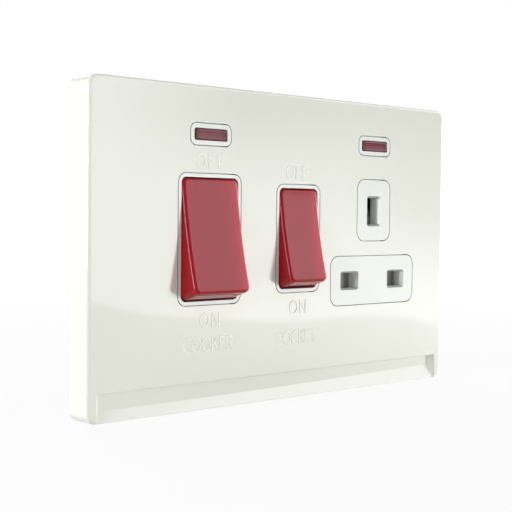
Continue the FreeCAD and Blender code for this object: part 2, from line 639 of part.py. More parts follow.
def make_rocker(opening_width, opening_height, tilt, proud, poles):
    """Hollow rocker with a dished face, side trunnions and one plunger barrel per pole."""
    face = (proud + PIVOT_DEPTH) * math.cos(math.radians(tilt))
    hollow = face - ROCKER_DISH
    half = opening_width / 2 - ROCKER_SIDE_GAP
    size = (opening_width, opening_height, tilt)
    front = rocker_half(*size, -face, 0, ROCKER_CORNER_RADIUS, ROCKER_DISH)
    rounds = [f for f in front.Faces if isinstance(f.Surface, Part.Cylinder)]
    dished = max(rounds, key=lambda f: f.Surface.Radius)
    front = front.makeFillet(ROCKER_EDGE_RADIUS, dished.Edges)
    skirt = rocker_half(*size, ROCKER_SKIRT, 0, ROCKER_CORNER_RADIUS)
    shell = merged(front, skirt)
    shell = shell.cut(rocker_half(*size, -hollow, ROCKER_WALL, 0))
    shell = shell.cut(rocker_half(*size, ROCKER_SKIRT, ROCKER_WALL, 0))
    inside_y = -(hollow - ROCKER_WALL)
    bore = PLUNGER_RADIUS + RUNNING_FIT
    added = [rod_x(0, 0, TRUNNION_RADIUS, -half - TRUNNION_LENGTH, -half + ROCKER_WALL)]
    added.append(rod_x(0, 0, TRUNNION_RADIUS, half - ROCKER_WALL, half + TRUNNION_LENGTH))
    for x in poles:
        barrel = rectangle(x, 0, 2 * (bore + BARREL_WALL), 2 * (bore + BARREL_WALL))
        added.append(prism_y(barrel, inside_y - ROCKER_WALL / 2, BARREL_REACH))
    shell = shell.fuse(added)
    for x in poles:
        shell = shell.cut(facet_hole(x, 0, bore, inside_y, BARREL_REACH + 1))
    return shell.removeSplitter(), inside_y


def make_plunger(x):
    """Taper-nosed plunger that stands out of its barrel."""
    back = BARREL_REACH - PLUNGER_GRIP
    nose = PLUNGER_REACH - PLUNGER_RADIUS
    pin = facet_rod(x, 0, PLUNGER_RADIUS, back, nose)
    return merged(pin, facet_taper(x, 0, PLUNGER_RADIUS, PLUNGER_NOSE_RADIUS, nose, PLUNGER_REACH))


def make_plunger_spring(x, inside_y):
    """Coil between the rocker face and the back of the plunger."""
    length = BARREL_REACH - PLUNGER_GRIP - inside_y - 2 * RUNNING_FIT
    radius = PLUNGER_RADIUS - PLUNGER_WIRE / 2 - RUNNING_FIT
    spring = coil(radius, PLUNGER_WIRE, PLUNGER_TURNS, length)
    spring.rotate(V(0, 0, 0), V(1, 0, 0), -90)
    spring.translate(V(x, inside_y + RUNNING_FIT, 0))
    return spring


def at_rocker(shape, x, tilt):
    """Turns a rocker piece to OFF, top pressed in, and sets it on its pivot."""
    placed = shape.copy()
    placed.rotate(V(0, 0, 0), V(1, 0, 0), -tilt)
    placed.translate(V(x, PIVOT_Y, ROCKER_Z))
    return placed


def make_arm():
    """See-saw contact arm about its pivot: flat bar with a round roll across its back."""
    bar = [(-ARM_FRONT, -ARM_HALF_LENGTH), (ARM_BACK, -ARM_HALF_LENGTH)]
    bar += [(ARM_BACK, ARM_HALF_LENGTH), (-ARM_FRONT, ARM_HALF_LENGTH)]
    plate = prism_x(bar, -ARM_WIDTH / 2, ARM_WIDTH / 2)
    roll = rod_x(0, 0, ROLL_RADIUS, -ARM_WIDTH / 2, ARM_WIDTH / 2)
    clear = 2 * ROLL_RADIUS
    behind = prism_x(
        [(0, -clear), (clear, -clear), (clear, clear), (0, clear)],
        -ARM_WIDTH / 2,
        ARM_WIDTH / 2,
    )
    return merged(plate, roll.common(behind))


def at_arm(shape, x, tilt):
    """Turns a contact piece to OFF, upper end forward, and sets it on its pivot."""
    placed = shape.copy()
    placed.rotate(V(0, 0, 0), V(1, 0, 0), tilt)
    placed.translate(V(x, ARM_PIVOT_Y, ROCKER_Z))
    return placed


arm = make_arm()
arm_tip = prism_y(rectangle(0, TIP_OFFSET, TIP_SIZE, TIP_SIZE), ARM_BACK, ARM_BACK + TIP_HEIGHT)

# Cooker switch, two poles
cooker_poles = (-POLE_SPACING / 2, POLE_SPACING / 2)
_, width, height = openings["cooker_rocker"]
rocker, inside_y = make_rocker(width, height, COOKER_TILT, COOKER_PROUD, cooker_poles)
save("cooker_rocker", at_rocker(rocker, COOKER_X, COOKER_TILT))
for name, offset in (("neutral", cooker_poles[0]), ("line", cooker_poles[1])):
    save("cooker_" + name + "_plunger", at_rocker(make_plunger(offset), COOKER_X, COOKER_TILT))
    spring = make_plunger_spring(offset, inside_y)
    save("cooker_" + name + "_spring", at_rocker(spring, COOKER_X, COOKER_TILT))
    save("cooker_" + name + "_arm", at_arm(arm, COOKER_X + offset, COOKER_TILT))
    save("cooker_" + name + "_arm_tip", at_arm(arm_tip, COOKER_X + offset, COOKER_TILT))

# Socket switch, one pole
_, width, height = openings["socket_rocker"]
rocker, inside_y = make_rocker(width, height, SWITCH_TILT, SWITCH_PROUD, (0,))
save("socket_rocker", at_rocker(rocker, SWITCH_X, SWITCH_TILT))
save("socket_plunger", at_rocker(make_plunger(0), SWITCH_X, SWITCH_TILT))
save("socket_plunger_spring", at_rocker(make_plunger_spring(0, inside_y), SWITCH_X, SWITCH_TILT))
save("socket_line_arm", at_arm(arm, SWITCH_X, SWITCH_TILT))
save("socket_line_arm_tip", at_arm(arm_tip, SWITCH_X, SWITCH_TILT))

# Fixed contact tips on the outgoing strips
fixed_tips = []
for x, tilt in ((NEUTRAL_X, COOKER_TILT), (LINE_X, COOKER_TILT), (SWITCH_X, SWITCH_TILT)):
    pad_outline = rectangle(x, ROCKER_Z + TIP_OFFSET, TIP_SIZE, TIP_SIZE)
    fixed_tips.append(prism_y(pad_outline, contact_plane(tilt), STRIP_FRONT_Y))
save("fixed_contact_tips", Part.makeCompound(fixed_tips))


def saddle(x):
    """Grooved seat that carries the roll of a contact arm."""
    lift = ARM_BACK + SADDLE_HALF_HEIGHT * math.sin(math.radians(MAX_TILT)) + SLIDING_FIT
    seat = rectangle(x, ROCKER_Z, ARM_WIDTH, 2 * SADDLE_HALF_HEIGHT)
    block = prism_y(seat, ARM_PIVOT_Y + lift, STRIP_FRONT_Y)
    groove = rod_x(ARM_PIVOT_Y, ROCKER_Z, ROLL_RADIUS + RUNNING_FIT, x - ARM_WIDTH, x + ARM_WIDTH)
    return block.cut(groove)


def pin_clip(base_y, width):
    """Spring clip open to the front, two flared leaves joined by a base, run along Z."""
    half = (CLIP_GAP + CLIP_THICKNESS) / 2
    mouth_y = FRONT_Y + CLIP_MOUTH_SETBACK
    base = base_y + CLIP_THICKNESS / 2
    leaf = [(half + CLIP_FLARE, mouth_y), (half, mouth_y + 2 * CLIP_FLARE), (half + CLIP_SPLAY, base)]
    centre = leaf + [(-x, y) for x, y in leaf[::-1]]
    return prism_z(ribbon(centre, CLIP_THICKNESS), -width / 2, width / 2)


half_strip = STRIP_WIDTH / 2
saddle_top_z = ROCKER_Z + SADDLE_HALF_HEIGHT
supply_end_z = SUPPLY_BOTTOM_Z + TERMINAL_WALL
pair_clip = pin_clip(STRIP_FRONT_Y, CLIP_WIDTH)
pair_clip.rotate(V(0, 0, 0), V(0, 1, 0), 90)

# Line busbar: supply terminal to both line arms
bar = [
    (LINE_X - half_strip, supply_end_z),
    (LINE_X + half_strip, supply_end_z),
    (LINE_X + half_strip, BRANCH_Z - half_strip),
    (SWITCH_X + half_strip, BRANCH_Z - half_strip),
    (SWITCH_X + half_strip, saddle_top_z),
    (SWITCH_X - half_strip, saddle_top_z),
    (SWITCH_X - half_strip, BRANCH_Z + half_strip),
    (LINE_X + half_strip, BRANCH_Z + half_strip),
    (LINE_X + half_strip, saddle_top_z),
    (LINE_X - half_strip, saddle_top_z),
]
busbar = prism_y(bar, STRIP_FRONT_Y, STRIP_BACK_Y)
save("line_busbar", merged(busbar, saddle(LINE_X), saddle(SWITCH_X)))

# Neutral busbar: supply terminal to the neutral arm, then a jumper over the line busbar to the pin clip
neutral_run = rectangle(
    NEUTRAL_X,
    (supply_end_z + saddle_top_z) / 2,
    STRIP_WIDTH,
    saddle_top_z - supply_end_z,
)
busbar = prism_y(neutral_run, STRIP_FRONT_Y, STRIP_BACK_Y)
strip_mid_y = STRIP_FRONT_Y + STRIP_THICKNESS / 2
jumper_y = JUMPER_BACK_Y - STRIP_THICKNESS / 2
step_out_x = NEUTRAL_X + half_strip
step_back_x = NEUTRAL_PIN_X - CLIP_WIDTH / 2 - STRIP_WIDTH
jumper = ribbon(
    [
        (NEUTRAL_X, strip_mid_y),
        (step_out_x, strip_mid_y),
        (step_out_x + JUMPER_STEP, jumper_y),
        (step_back_x - JUMPER_STEP, jumper_y),
        (step_back_x, strip_mid_y),
        (NEUTRAL_PIN_X + CLIP_WIDTH / 2, strip_mid_y),
    ],
    STRIP_THICKNESS,
)
jumper = prism_z(jumper, BRANCH_Z - half_strip, BRANCH_Z + half_strip)
clip = pair_clip.copy()
clip.translate(V(NEUTRAL_PIN_X, 0, PAIR_PIN_Z))
save("neutral_busbar", merged(busbar, saddle(NEUTRAL_X), jumper, clip))

# Outgoing strips of the cooker switch
strip_low_z = ROCKER_Z + TIP_OFFSET - half_strip
strip_high_z = LOAD_TOP_Z - TERMINAL_WALL
for name, x in (("neutral", NEUTRAL_X), ("line", LINE_X)):
    run = rectangle(x, (strip_low_z + strip_high_z) / 2, STRIP_WIDTH, strip_high_z - strip_low_z)
    save("cooker_" + name + "_strip", prism_y(run, STRIP_FRONT_Y, STRIP_BACK_Y))

# Switched line strip of the socket, led round above the earth clip to the line pin clip
over_z = LOAD_BOTTOM_Z
route = [
    (SWITCH_X, strip_low_z),
    (SWITCH_X, over_z),
    (LINE_PIN_X, over_z),
    (LINE_PIN_X, PAIR_PIN_Z - half_strip),
]
strip = prism_y(ribbon(route, STRIP_WIDTH), STRIP_FRONT_Y, STRIP_BACK_Y)
clip = pair_clip.copy()
clip.translate(V(LINE_PIN_X, 0, PAIR_PIN_Z))
save("socket_line_strip", merged(strip, clip))

# Earth strap from the earth terminal to the earth pin clip
earth_run_z = (SUPPLY_TOP_Z + SUPPLY_BOTTOM_Z) / 2
earth_turn_x = (SWITCH_X + NEUTRAL_PIN_X) / 2
route = [
    (EARTH_X + TERMINAL_WIDTH / 2, earth_run_z),
    (earth_turn_x, earth_run_z),
    (earth_turn_x, EARTH_PIN_Z),
    (SOCKET_X + CLIP_WIDTH / 2, EARTH_PIN_Z),
]
strap = prism_y(ribbon(route, STRIP_WIDTH), EARTH_BASE_Y, EARTH_BASE_Y + STRIP_THICKNESS)
clip = pin_clip(EARTH_BASE_Y, CLIP_WIDTH)
clip.translate(V(SOCKET_X, 0, EARTH_PIN_Z))
save("earth_strap", merged(strap, clip))

# Terminals and their grub screws, backed off clear of the wire bores
terminals = {
    "supply_neutral_terminal": (NEUTRAL_X, SUPPLY_BOTTOM_Z),
    "supply_line_terminal": (LINE_X, SUPPLY_BOTTOM_Z),
    "earth_terminal": (EARTH_X, SUPPLY_BOTTOM_Z),
    "cooker_neutral_terminal": (NEUTRAL_X, LOAD_BOTTOM_Z),
    "cooker_line_terminal": (LINE_X, LOAD_BOTTOM_Z),
}
screw_end_y = BORE_Y + TERMINAL_BORE_RADIUS + THREAD_FIT
screws = []
for name, (x, low_z) in terminals.items():
    mid_z = low_z + TERMINAL_LENGTH / 2
    block = prism_y(rectangle(x, mid_z, TERMINAL_WIDTH, TERMINAL_LENGTH), STRIP_BACK_Y, FLOOR_Y)
    block = block.cut(rod_z(x, BORE_Y, TERMINAL_BORE_RADIUS, low_z - 1, low_z + TERMINAL_LENGTH + 1))
    block = block.cut(facet_hole(x, mid_z, SCREW_RADIUS + THREAD_FIT, BORE_Y, FLOOR_Y + 1))
    save(name, block)
    screw = facet_rod(x, mid_z, SCREW_RADIUS, screw_end_y, FLOOR_Y + SCREW_PROUD)
    slot = rectangle(x, mid_z, 3 * SCREW_RADIUS, SCREW_SLOT)
    screws.append(screw.cut(prism_y(slot, FLOOR_Y, FLOOR_Y + 2 * SCREW_PROUD)))
save("terminal_screws", Part.makeCompound(screws))

# Socket shutter: ramp in front of the earth pin, bar across the line and neutral slots, spring peg below
ramp_top_z = EARTH_PIN_Z + SHUTTER_TOP_REACH
peg_end_z = BAR_BOTTOM_Z - SHUTTER_PEG
half_stem = SHUTTER_STEM_WIDTH / 2
tee = [
    (SOCKET_X - half_stem, ramp_top_z),
    (SOCKET_X - half_stem, BAR_TOP_Z),
    (SOCKET_X - SHUTTER_HALF_WIDTH, BAR_TOP_Z),
    (SOCKET_X - SHUTTER_HALF_WIDTH, BAR_BOTTOM_Z),
    (SOCKET_X + SHUTTER_HALF_WIDTH, BAR_BOTTOM_Z),
    (SOCKET_X + SHUTTER_HALF_WIDTH, BAR_TOP_Z),
    (SOCKET_X + half_stem, BAR_TOP_Z),
    (SOCKET_X + half_stem, ramp_top_z),
]
shutter = prism_y(tee, SHUTTER_FRONT_Y, SHUTTER_BACK_Y)
ramp = [
    (SHUTTER_FRONT_Y, ramp_top_z - 2 * SHUTTER_THICKNESS),
    (SHUTTER_FRONT_Y - 1, ramp_top_z + 1),
    (SHUTTER_BACK_Y, ramp_top_z + 1),
    (SHUTTER_BACK_Y, ramp_top_z),
]
shutter = shutter.cut(prism_x(ramp, SOCKET_X - 2 * half_stem, SOCKET_X + 2 * half_stem))
spring_y = (SHUTTER_FRONT_Y + SHUTTER_BACK_Y) / 2
peg_radius = SHUTTER_SPRING_RADIUS - SHUTTER_WIRE / 2 - RUNNING_FIT
peg = rod_z(SOCKET_X, spring_y, peg_radius, peg_end_z, BAR_BOTTOM_Z)
save("socket_shutter", merged(shutter, peg))
spring = coil(SHUTTER_SPRING_RADIUS, SHUTTER_WIRE, SHUTTER_TURNS, SHUTTER_SPRING_LENGTH)
spring.translate(V(SOCKET_X, spring_y, spring_foot_z))
save("shutter_spring", spring)

# Neon indicators
for name, x in (("cooker", COOKER_NEON_X), ("socket", SOCKET_NEON_X)):
    trim = 2 * LENS_FIT
    window = pad(
        x,
        NEON_Z,
        lens_width - trim,
        lens_height - trim,
        lens_radius - LENS_FIT,
        FRONT_Y + LENS_RECESS,
        DECK_BACK_Y,
    )
    flange_width = lens_width + 2 * LENS_FLANGE - trim
    flange_height = lens_height + 2 * LENS_FLANGE - trim
    flange = prism_y(rectangle(x, NEON_Z, flange_width, flange_height), seat_y, DECK_BACK_Y)
    save(name + "_neon_lens", merged(window, flange))
    half_lamp = LAMP_LENGTH / 2
    save(name + "_neon_lamp", rod_x(LAMP_Y, NEON_Z, LAMP_RADIUS, x - half_lamp, x + half_lamp))
    body = rectangle(x, RESISTOR_Z, RESISTOR_LENGTH, 2 * RESISTOR_RADIUS)
    body = prism_y(body, RESISTOR_Y - RESISTOR_RADIUS, RESISTOR_Y + RESISTOR_RADIUS)
    lead = rectangle(x, RESISTOR_Z, LAMP_LENGTH, LEAD_SIZE)
    lead = prism_y(lead, RESISTOR_Y - LEAD_SIZE / 2, RESISTOR_Y + LEAD_SIZE / 2)
    save(name + "_neon_resistor", merged(body, lead))

# Rear housing
housing_width = 2 * HOUSING_HALF_WIDTH
housing_height = 2 * HOUSING_HALF_HEIGHT
housing = pad(
    0, ROCKER_Z, housing_width, housing_height, HOUSING_CORNER_RADIUS, DECK_BACK_Y, HOUSING_BACK_Y
)
housing = housing.makeChamfer(HOUSING_CHAMFER, rim_edges(housing, HOUSING_BACK_Y))
cavity_width = housing_width - 2 * HOUSING_WALL
cavity_height = housing_height - 2 * HOUSING_WALL
cavity = pad(0, ROCKER_Z, cavity_width, cavity_height, CAVITY_RADIUS, DECK_BACK_Y - 1, FLOOR_Y)
housing = housing.cut(cavity)
inside = []
for x, z in post_places:
    inside.append(prism_y(rectangle(x, z, POST_SIZE, POST_SIZE), boss_back_y + SEAT_GAP, FLOOR_Y))
for low_z, high_z in ((SUPPLY_BOTTOM_Z, SUPPLY_TOP_Z), (LOAD_BOTTOM_Z, LOAD_TOP_Z)):
    wall = rectangle(COOKER_X, (low_z + high_z) / 2, BARRIER, high_z - low_z)
    inside.append(prism_y(wall, STRIP_FRONT_Y, FLOOR_Y))
for x in (NEUTRAL_X, LINE_X, SWITCH_X):
    inside.append(prism_y(rectangle(x, ROCKER_Z, PEDESTAL, PEDESTAL), STRIP_BACK_Y, FLOOR_Y))
for x in (NEUTRAL_PIN_X, LINE_PIN_X):
    inside.append(prism_y(rectangle(x, PAIR_PIN_Z, PEDESTAL, PEDESTAL), STRIP_BACK_Y, FLOOR_Y))
earth_back_y = EARTH_BASE_Y + STRIP_THICKNESS
inside.append(prism_y(rectangle(SOCKET_X, EARTH_PIN_Z, PEDESTAL, PEDESTAL), earth_back_y, FLOOR_Y))
guard = rectangle(SOCKET_X, SOCKET_Z, PEDESTAL, PEDESTAL)
inside.append(prism_y(guard, SHUTTER_BACK_Y + SLIDING_FIT, FLOOR_Y))
housing = merged(housing, *inside)
openings_back = []
for x, z in post_places:
    openings_back.append(facet_hole(x, z, POST_HOLE_RADIUS, boss_back_y, HOUSING_BACK_Y + 1))
entry = 2 * (TERMINAL_BORE_RADIUS + CABLE_ENTRY_CLEARANCE)
access = 2 * (SCREW_RADIUS + CABLE_ENTRY_CLEARANCE)
for x, low_z in terminals.values():
    mid_z = low_z + TERMINAL_LENGTH / 2
    openings_back.append(prism_y(rectangle(x, mid_z, access, access), FLOOR_Y - 1, HOUSING_BACK_Y + 1))
    square = [(x - entry / 2, BORE_Y - entry / 2), (x + entry / 2, BORE_Y - entry / 2)]
    square += [(x + entry / 2, BORE_Y + entry / 2), (x - entry / 2, BORE_Y + entry / 2)]
    outside = math.copysign(HOUSING_HALF_HEIGHT + 1, mid_z - ROCKER_Z)
    inner = math.copysign(TERMINAL_END, mid_z - ROCKER_Z)
    openings_back.append(prism_z(square, ROCKER_Z + inner, ROCKER_Z + outside))
for tool in openings_back:
    housing = housing.cut(tool)
save("rear_housing", housing.removeSplitter())

# Housing screws, driven from the back into the chassis bosses
housing_screws = []
for x, z in post_places:
    shank = facet_rod(x, z, HOUSING_SCREW_RADIUS, screw_tip_y, HOUSING_BACK_Y)
    head_back_y = HOUSING_BACK_Y + HOUSING_SCREW_HEAD_HEIGHT
    head = rod_y(x, z, HOUSING_SCREW_HEAD_RADIUS, HOUSING_BACK_Y, head_back_y)
    slot = rectangle(x, z, 3 * HOUSING_SCREW_HEAD_RADIUS, SCREW_SLOT)
    slot_y = HOUSING_BACK_Y + HOUSING_SCREW_HEAD_HEIGHT / 2
    housing_screws.append(merged(shank, head).cut(prism_y(slot, slot_y, head_back_y + 1)))
save("housing_screws", Part.makeCompound(housing_screws))
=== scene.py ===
# %% [markdown]
# # Cooker control unit
# A white wall plate with two red rockers, a three-pin outlet and two neon windows.
# The solids come packed from the part's source, so this lesson only dresses them: it sets up the camera,
# the floor and the light, gives each solid its finish, and adds the small raised, coiled and turned details.

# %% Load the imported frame
import math
import bpy
import numpy as np
from mathutils import Matrix, Vector


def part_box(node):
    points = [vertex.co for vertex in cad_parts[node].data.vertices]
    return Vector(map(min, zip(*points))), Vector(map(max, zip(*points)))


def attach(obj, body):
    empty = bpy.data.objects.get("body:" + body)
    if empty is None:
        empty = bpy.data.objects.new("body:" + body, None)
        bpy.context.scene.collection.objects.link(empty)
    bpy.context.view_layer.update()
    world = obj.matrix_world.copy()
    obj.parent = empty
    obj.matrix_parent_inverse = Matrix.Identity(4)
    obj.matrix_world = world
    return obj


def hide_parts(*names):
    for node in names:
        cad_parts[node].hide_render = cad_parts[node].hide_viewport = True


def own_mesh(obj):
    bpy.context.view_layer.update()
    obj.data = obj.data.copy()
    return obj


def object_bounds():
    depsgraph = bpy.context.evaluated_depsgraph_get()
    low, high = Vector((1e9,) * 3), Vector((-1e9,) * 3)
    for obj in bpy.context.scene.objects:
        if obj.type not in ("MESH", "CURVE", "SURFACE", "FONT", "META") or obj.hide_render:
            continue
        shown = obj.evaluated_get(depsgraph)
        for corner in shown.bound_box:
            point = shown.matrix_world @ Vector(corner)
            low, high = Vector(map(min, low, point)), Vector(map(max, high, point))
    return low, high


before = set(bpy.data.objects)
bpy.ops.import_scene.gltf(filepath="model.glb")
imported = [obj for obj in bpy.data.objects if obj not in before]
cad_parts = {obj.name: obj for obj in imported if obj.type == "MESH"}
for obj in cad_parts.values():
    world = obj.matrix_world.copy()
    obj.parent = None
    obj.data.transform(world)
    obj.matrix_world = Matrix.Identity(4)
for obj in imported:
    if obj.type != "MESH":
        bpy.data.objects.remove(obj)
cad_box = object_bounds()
MM = 0.001

# %% [markdown]
# ## Camera
# The photograph looks at the plate from its left, almost level with its middle. The pinhole was found from
# the plate's corners and the pin slots, so it is written down as three turns and a place, and no lens shift
# is needed. The turns are applied in the plate's own frame: right, down and away from the viewer.

# %% Camera at the photograph's view
FOCAL_PIXELS = 1135.6
FRAME_PIXELS = 512
SENSOR_MM = 36.0
NEAR_CLIP = 0.01
CAMERA_PLACE = Vector((-239.63, -255.09, 9.41)) * MM
YAW, PITCH, ROLL = (math.radians(a) for a in (-42.492, 2.047, 0.544))

plate_from_row = Matrix(((1, 0, 0), (0, 0, -1), (0, 1, 0)))
turns = Matrix.Rotation(ROLL, 3, "Z") @ Matrix.Rotation(PITCH, 3, "X") @ Matrix.Rotation(YAW, 3, "Y")
right, down, ahead = (turns @ plate_from_row).row
camera_data = bpy.data.cameras.new("photo_camera")
camera_data.sensor_width = SENSOR_MM
camera_data.lens = FOCAL_PIXELS / FRAME_PIXELS * SENSOR_MM
camera_data.clip_start = NEAR_CLIP
camera = bpy.data.objects.new("photo_camera", camera_data)
bpy.context.collection.objects.link(camera)
axes = Matrix((right, -down, -ahead)).transposed().to_4x4()
camera.matrix_world = Matrix.Translation(CAMERA_PLACE) @ axes
bpy.context.scene.camera = camera
bpy.context.scene.view_settings.view_transform = "Standard"
print("lens", round(camera_data.lens, 2), "mm")

# %% [markdown]
# ## Node helpers
# Every finish below is a small graph of nodes. These helpers add a node and fill its sockets with another
# node's output, a number or a colour, so that each finish can be read as a short recipe.

# %% Helpers that add nodes
def feed(tree, socket, value):
    """Links an output to an input socket, or writes a number or colour into it."""
    if isinstance(value, bpy.types.NodeSocket):
        tree.links.new(value, socket)
    elif socket.type == "RGBA":
        socket.default_value = (*value, 1)
    else:
        socket.default_value = value


def add_node(tree, kind, *numbered, **named):
    """A node whose settings and sockets are filled by name, or by number for sockets that share a name."""
    node = tree.nodes.new(kind)
    settings = {k: v for k, v in named.items() if k in node.bl_rna.properties}
    for name, value in settings.items():
        setattr(node, name, value)
    for index, value in enumerate(numbered):
        feed(tree, node.inputs[index], value)
    for name in named.keys() - settings.keys():
        feed(tree, node.inputs[name.replace("_", " ")], named[name])
    return node


def new_material(name):
    """An empty material, its node tree and the object coordinate that every finish is laid out in."""
    material = bpy.data.materials.new(name)
    material.use_nodes = True
    tree = material.node_tree
    tree.nodes.clear()
    return material, tree, add_node(tree, "ShaderNodeTexCoord").outputs["Object"]


def finish_surface(tree, shader):
    """Makes a shader the surface of its material."""
    output = tree.nodes.new("ShaderNodeOutputMaterial")
    tree.links.new(shader.outputs[0], output.inputs["Surface"])


print("node helpers ready")

# %% [markdown]
# A second set of helpers does the sums between nodes: noise over a place, a span carried onto another span,
# two colours mixed, two numbers combined, and a grey level read from a short list of stops.

# %% Helpers that reckon with nodes
def grey(level):
    """A colour with one level in red, green and blue."""
    return (level, level, level)


def noise(tree, place, scale, detail=2.0):
    """Smooth noise from 0 to 1 whose spots are about 1 / scale metres wide."""
    return add_node(tree, "ShaderNodeTexNoise", Vector=place, Scale=scale, Detail=detail).outputs["Fac"]


def spread(tree, value, low, high, to_low=0.0, to_high=1.0):
    """Carries the span low..high onto to_low..to_high and holds it there."""
    node = add_node(
        tree,
        "ShaderNodeMapRange",
        Value=value,
        From_Min=low,
        From_Max=high,
        To_Min=to_low,
        To_Max=to_high,
    )
    return node.outputs["Result"]


def blend(tree, factor, first, second, **settings):
    """The first colour at factor 0, the second at factor 1, and their mix between."""
    node = add_node(tree, "ShaderNodeMix", data_type="RGBA", Factor=factor, A=first, B=second, **settings)
    return node.outputs["Result"]


def combine(tree, operation, *values):
    """One sum over numbers, such as ADD or MULTIPLY."""
    return add_node(tree, "ShaderNodeMath", *values, operation=operation).outputs[0]


def levels(tree, value, stops, top=1.0):
    """Grey level over a value, straight between the (value, level) stops, as a share of top."""
    low, high = stops[0][0], stops[-1][0]
    node = add_node(tree, "ShaderNodeValToRGB", spread(tree, value, low, high))
    elements = node.color_ramp.elements
    elements.remove(elements[1])
    for index, (at, level) in enumerate(stops):
        place = (at - low) / (high - low)
        element = elements[0] if index == 0 else elements.new(place)
        element.position = place
        element.color = (*grey(level / top), 1)
    return node.outputs["Color"]


print("sum helpers ready")

# %% [markdown]
# ## Floor and light
# The picture has a white ground. The floor is a pale sheet that keeps a soft shadow near the part; further
# out it is lit by itself for the camera, so that it meets the white surround without a line. It stays out of
# mirrored rays, because what the glossy plate mirrors is described by the surround.

# %% Floor
FLOOR_HALF = 3.0
FLOOR_DROP = 0.02 * MM
FLOOR_GRAIN = 30.0
FLOOR_TONES = (0.93, 0.96)
SHADOW_REACH = (0.10, 0.45)
OWN_LIGHT = (0.90, 1.0)
floor_z = cad_box[0][2] - FLOOR_DROP
floor_mesh = bpy.data.meshes.new("floor")
corners = ((-1, -1), (1, -1), (1, 1), (-1, 1))
floor_mesh.from_pydata([(x * FLOOR_HALF, y * FLOOR_HALF, floor_z) for x, y in corners], [], [(0, 1, 2, 3)])
floor = bpy.data.objects.new("floor", floor_mesh)
bpy.context.collection.objects.link(floor)
floor.visible_glossy = False
pale_floor, tree, place = new_material("pale_floor")
tone = spread(tree, noise(tree, place, FLOOR_GRAIN), 0.0, 1.0, *FLOOR_TONES)
matt = add_node(tree, "ShaderNodeBsdfDiffuse", Color=tone)
glow = add_node(tree, "ShaderNodeEmission", Color=grey(1.0), Strength=1.0)
away = add_node(tree, "ShaderNodeVectorMath", place, operation="LENGTH").outputs["Value"]
seen = add_node(tree, "ShaderNodeLightPath").outputs["Is Camera Ray"]
share = combine(tree, "MULTIPLY", seen, spread(tree, away, *SHADOW_REACH, *OWN_LIGHT))
finish_surface(tree, add_node(tree, "ShaderNodeMixShader", share, matt.outputs[0], glow.outputs[0]))
floor_mesh.materials.append(pale_floor)
print("floor at", round(floor_z / MM, 2), "mm")

# %% [markdown]
# What the plate mirrors is told by direction alone. Across is the direction's X, and height is its Z above
# the edge of a table, which gives the step low on the plate. Below that edge lies the table, a little paler
# to the right. Above it stands a bright wall that fades into a dark upper part, sooner to the right. A pale
# panel further up washes the tilted rockers, and the far right lights their right edges. To the left and
# the back lie plain greys, which matter most to other views.

# %% Levels of the mirrored room
TOP_LEVEL = 4.6
TABLE_EDGE = (
    (0.55, 0.073), (0.595, 0.088), (0.655, 0.092), (0.68, 0.0935),
    (0.713, 0.0915), (0.73, 0.088), (0.765, 0.0888), (0.79, 0.0975),
)
NEAR_ROOM = (
    (-0.5, 1.2), (-0.04, 1.3), (-0.001, 1.6),
    (0.001, 3.1), (0.06, 3.2), (0.12, 3.0), (0.18, 2.6), (0.9, 1.6),
)
FAR_ROOM = (
    (-0.5, 0.6), (-0.06, 0.8), (-0.047, 1.0), (-0.026, 1.6), (-0.001, 2.1),
    (0.001, 4.1), (0.03, 4.0), (0.075, 3.6), (0.11, 2.9), (0.135, 2.2),
    (0.158, 1.3), (0.18, 0.5), (0.20, 0.3), (0.9, 0.3),
)
NEAR_TO_FAR = (0.575, 0.66)
DIM_ACROSS, DIM_HEIGHT, DIM_SHARE = (0.70, 0.77), (0.03, 0.10), 0.50
TABLE_LINE = (-0.001, 0.001)
PALER_ACROSS, PALER_SHARE, PALER_GREY = (0.68, 0.78), 0.30, 0.9
PANEL_LEFT, PANEL_FOOT, PANEL_TOP = (0.545, 0.575), (0.23, 0.27), (0.52, 0.62)
PANEL_TINT = (0.81, 0.82, 0.87)
DARK_GREY = 0.08
RIGHT_ACROSS, RIGHT_GREY = (0.80, 0.92), 0.44
BACK_ACROSS, BACK_GREYS = (-0.45, -0.25), (0.60, 0.20)
BACK_DEPTH = (-0.35, -0.15)
ROOM_ACROSS = (0.45, 0.545)
print("stops:", len(NEAR_ROOM), "near and", len(FAR_ROOM), "far")

# %% [markdown]
# The levels become one colour over the direction. Each line lays one more thing over what is there already.

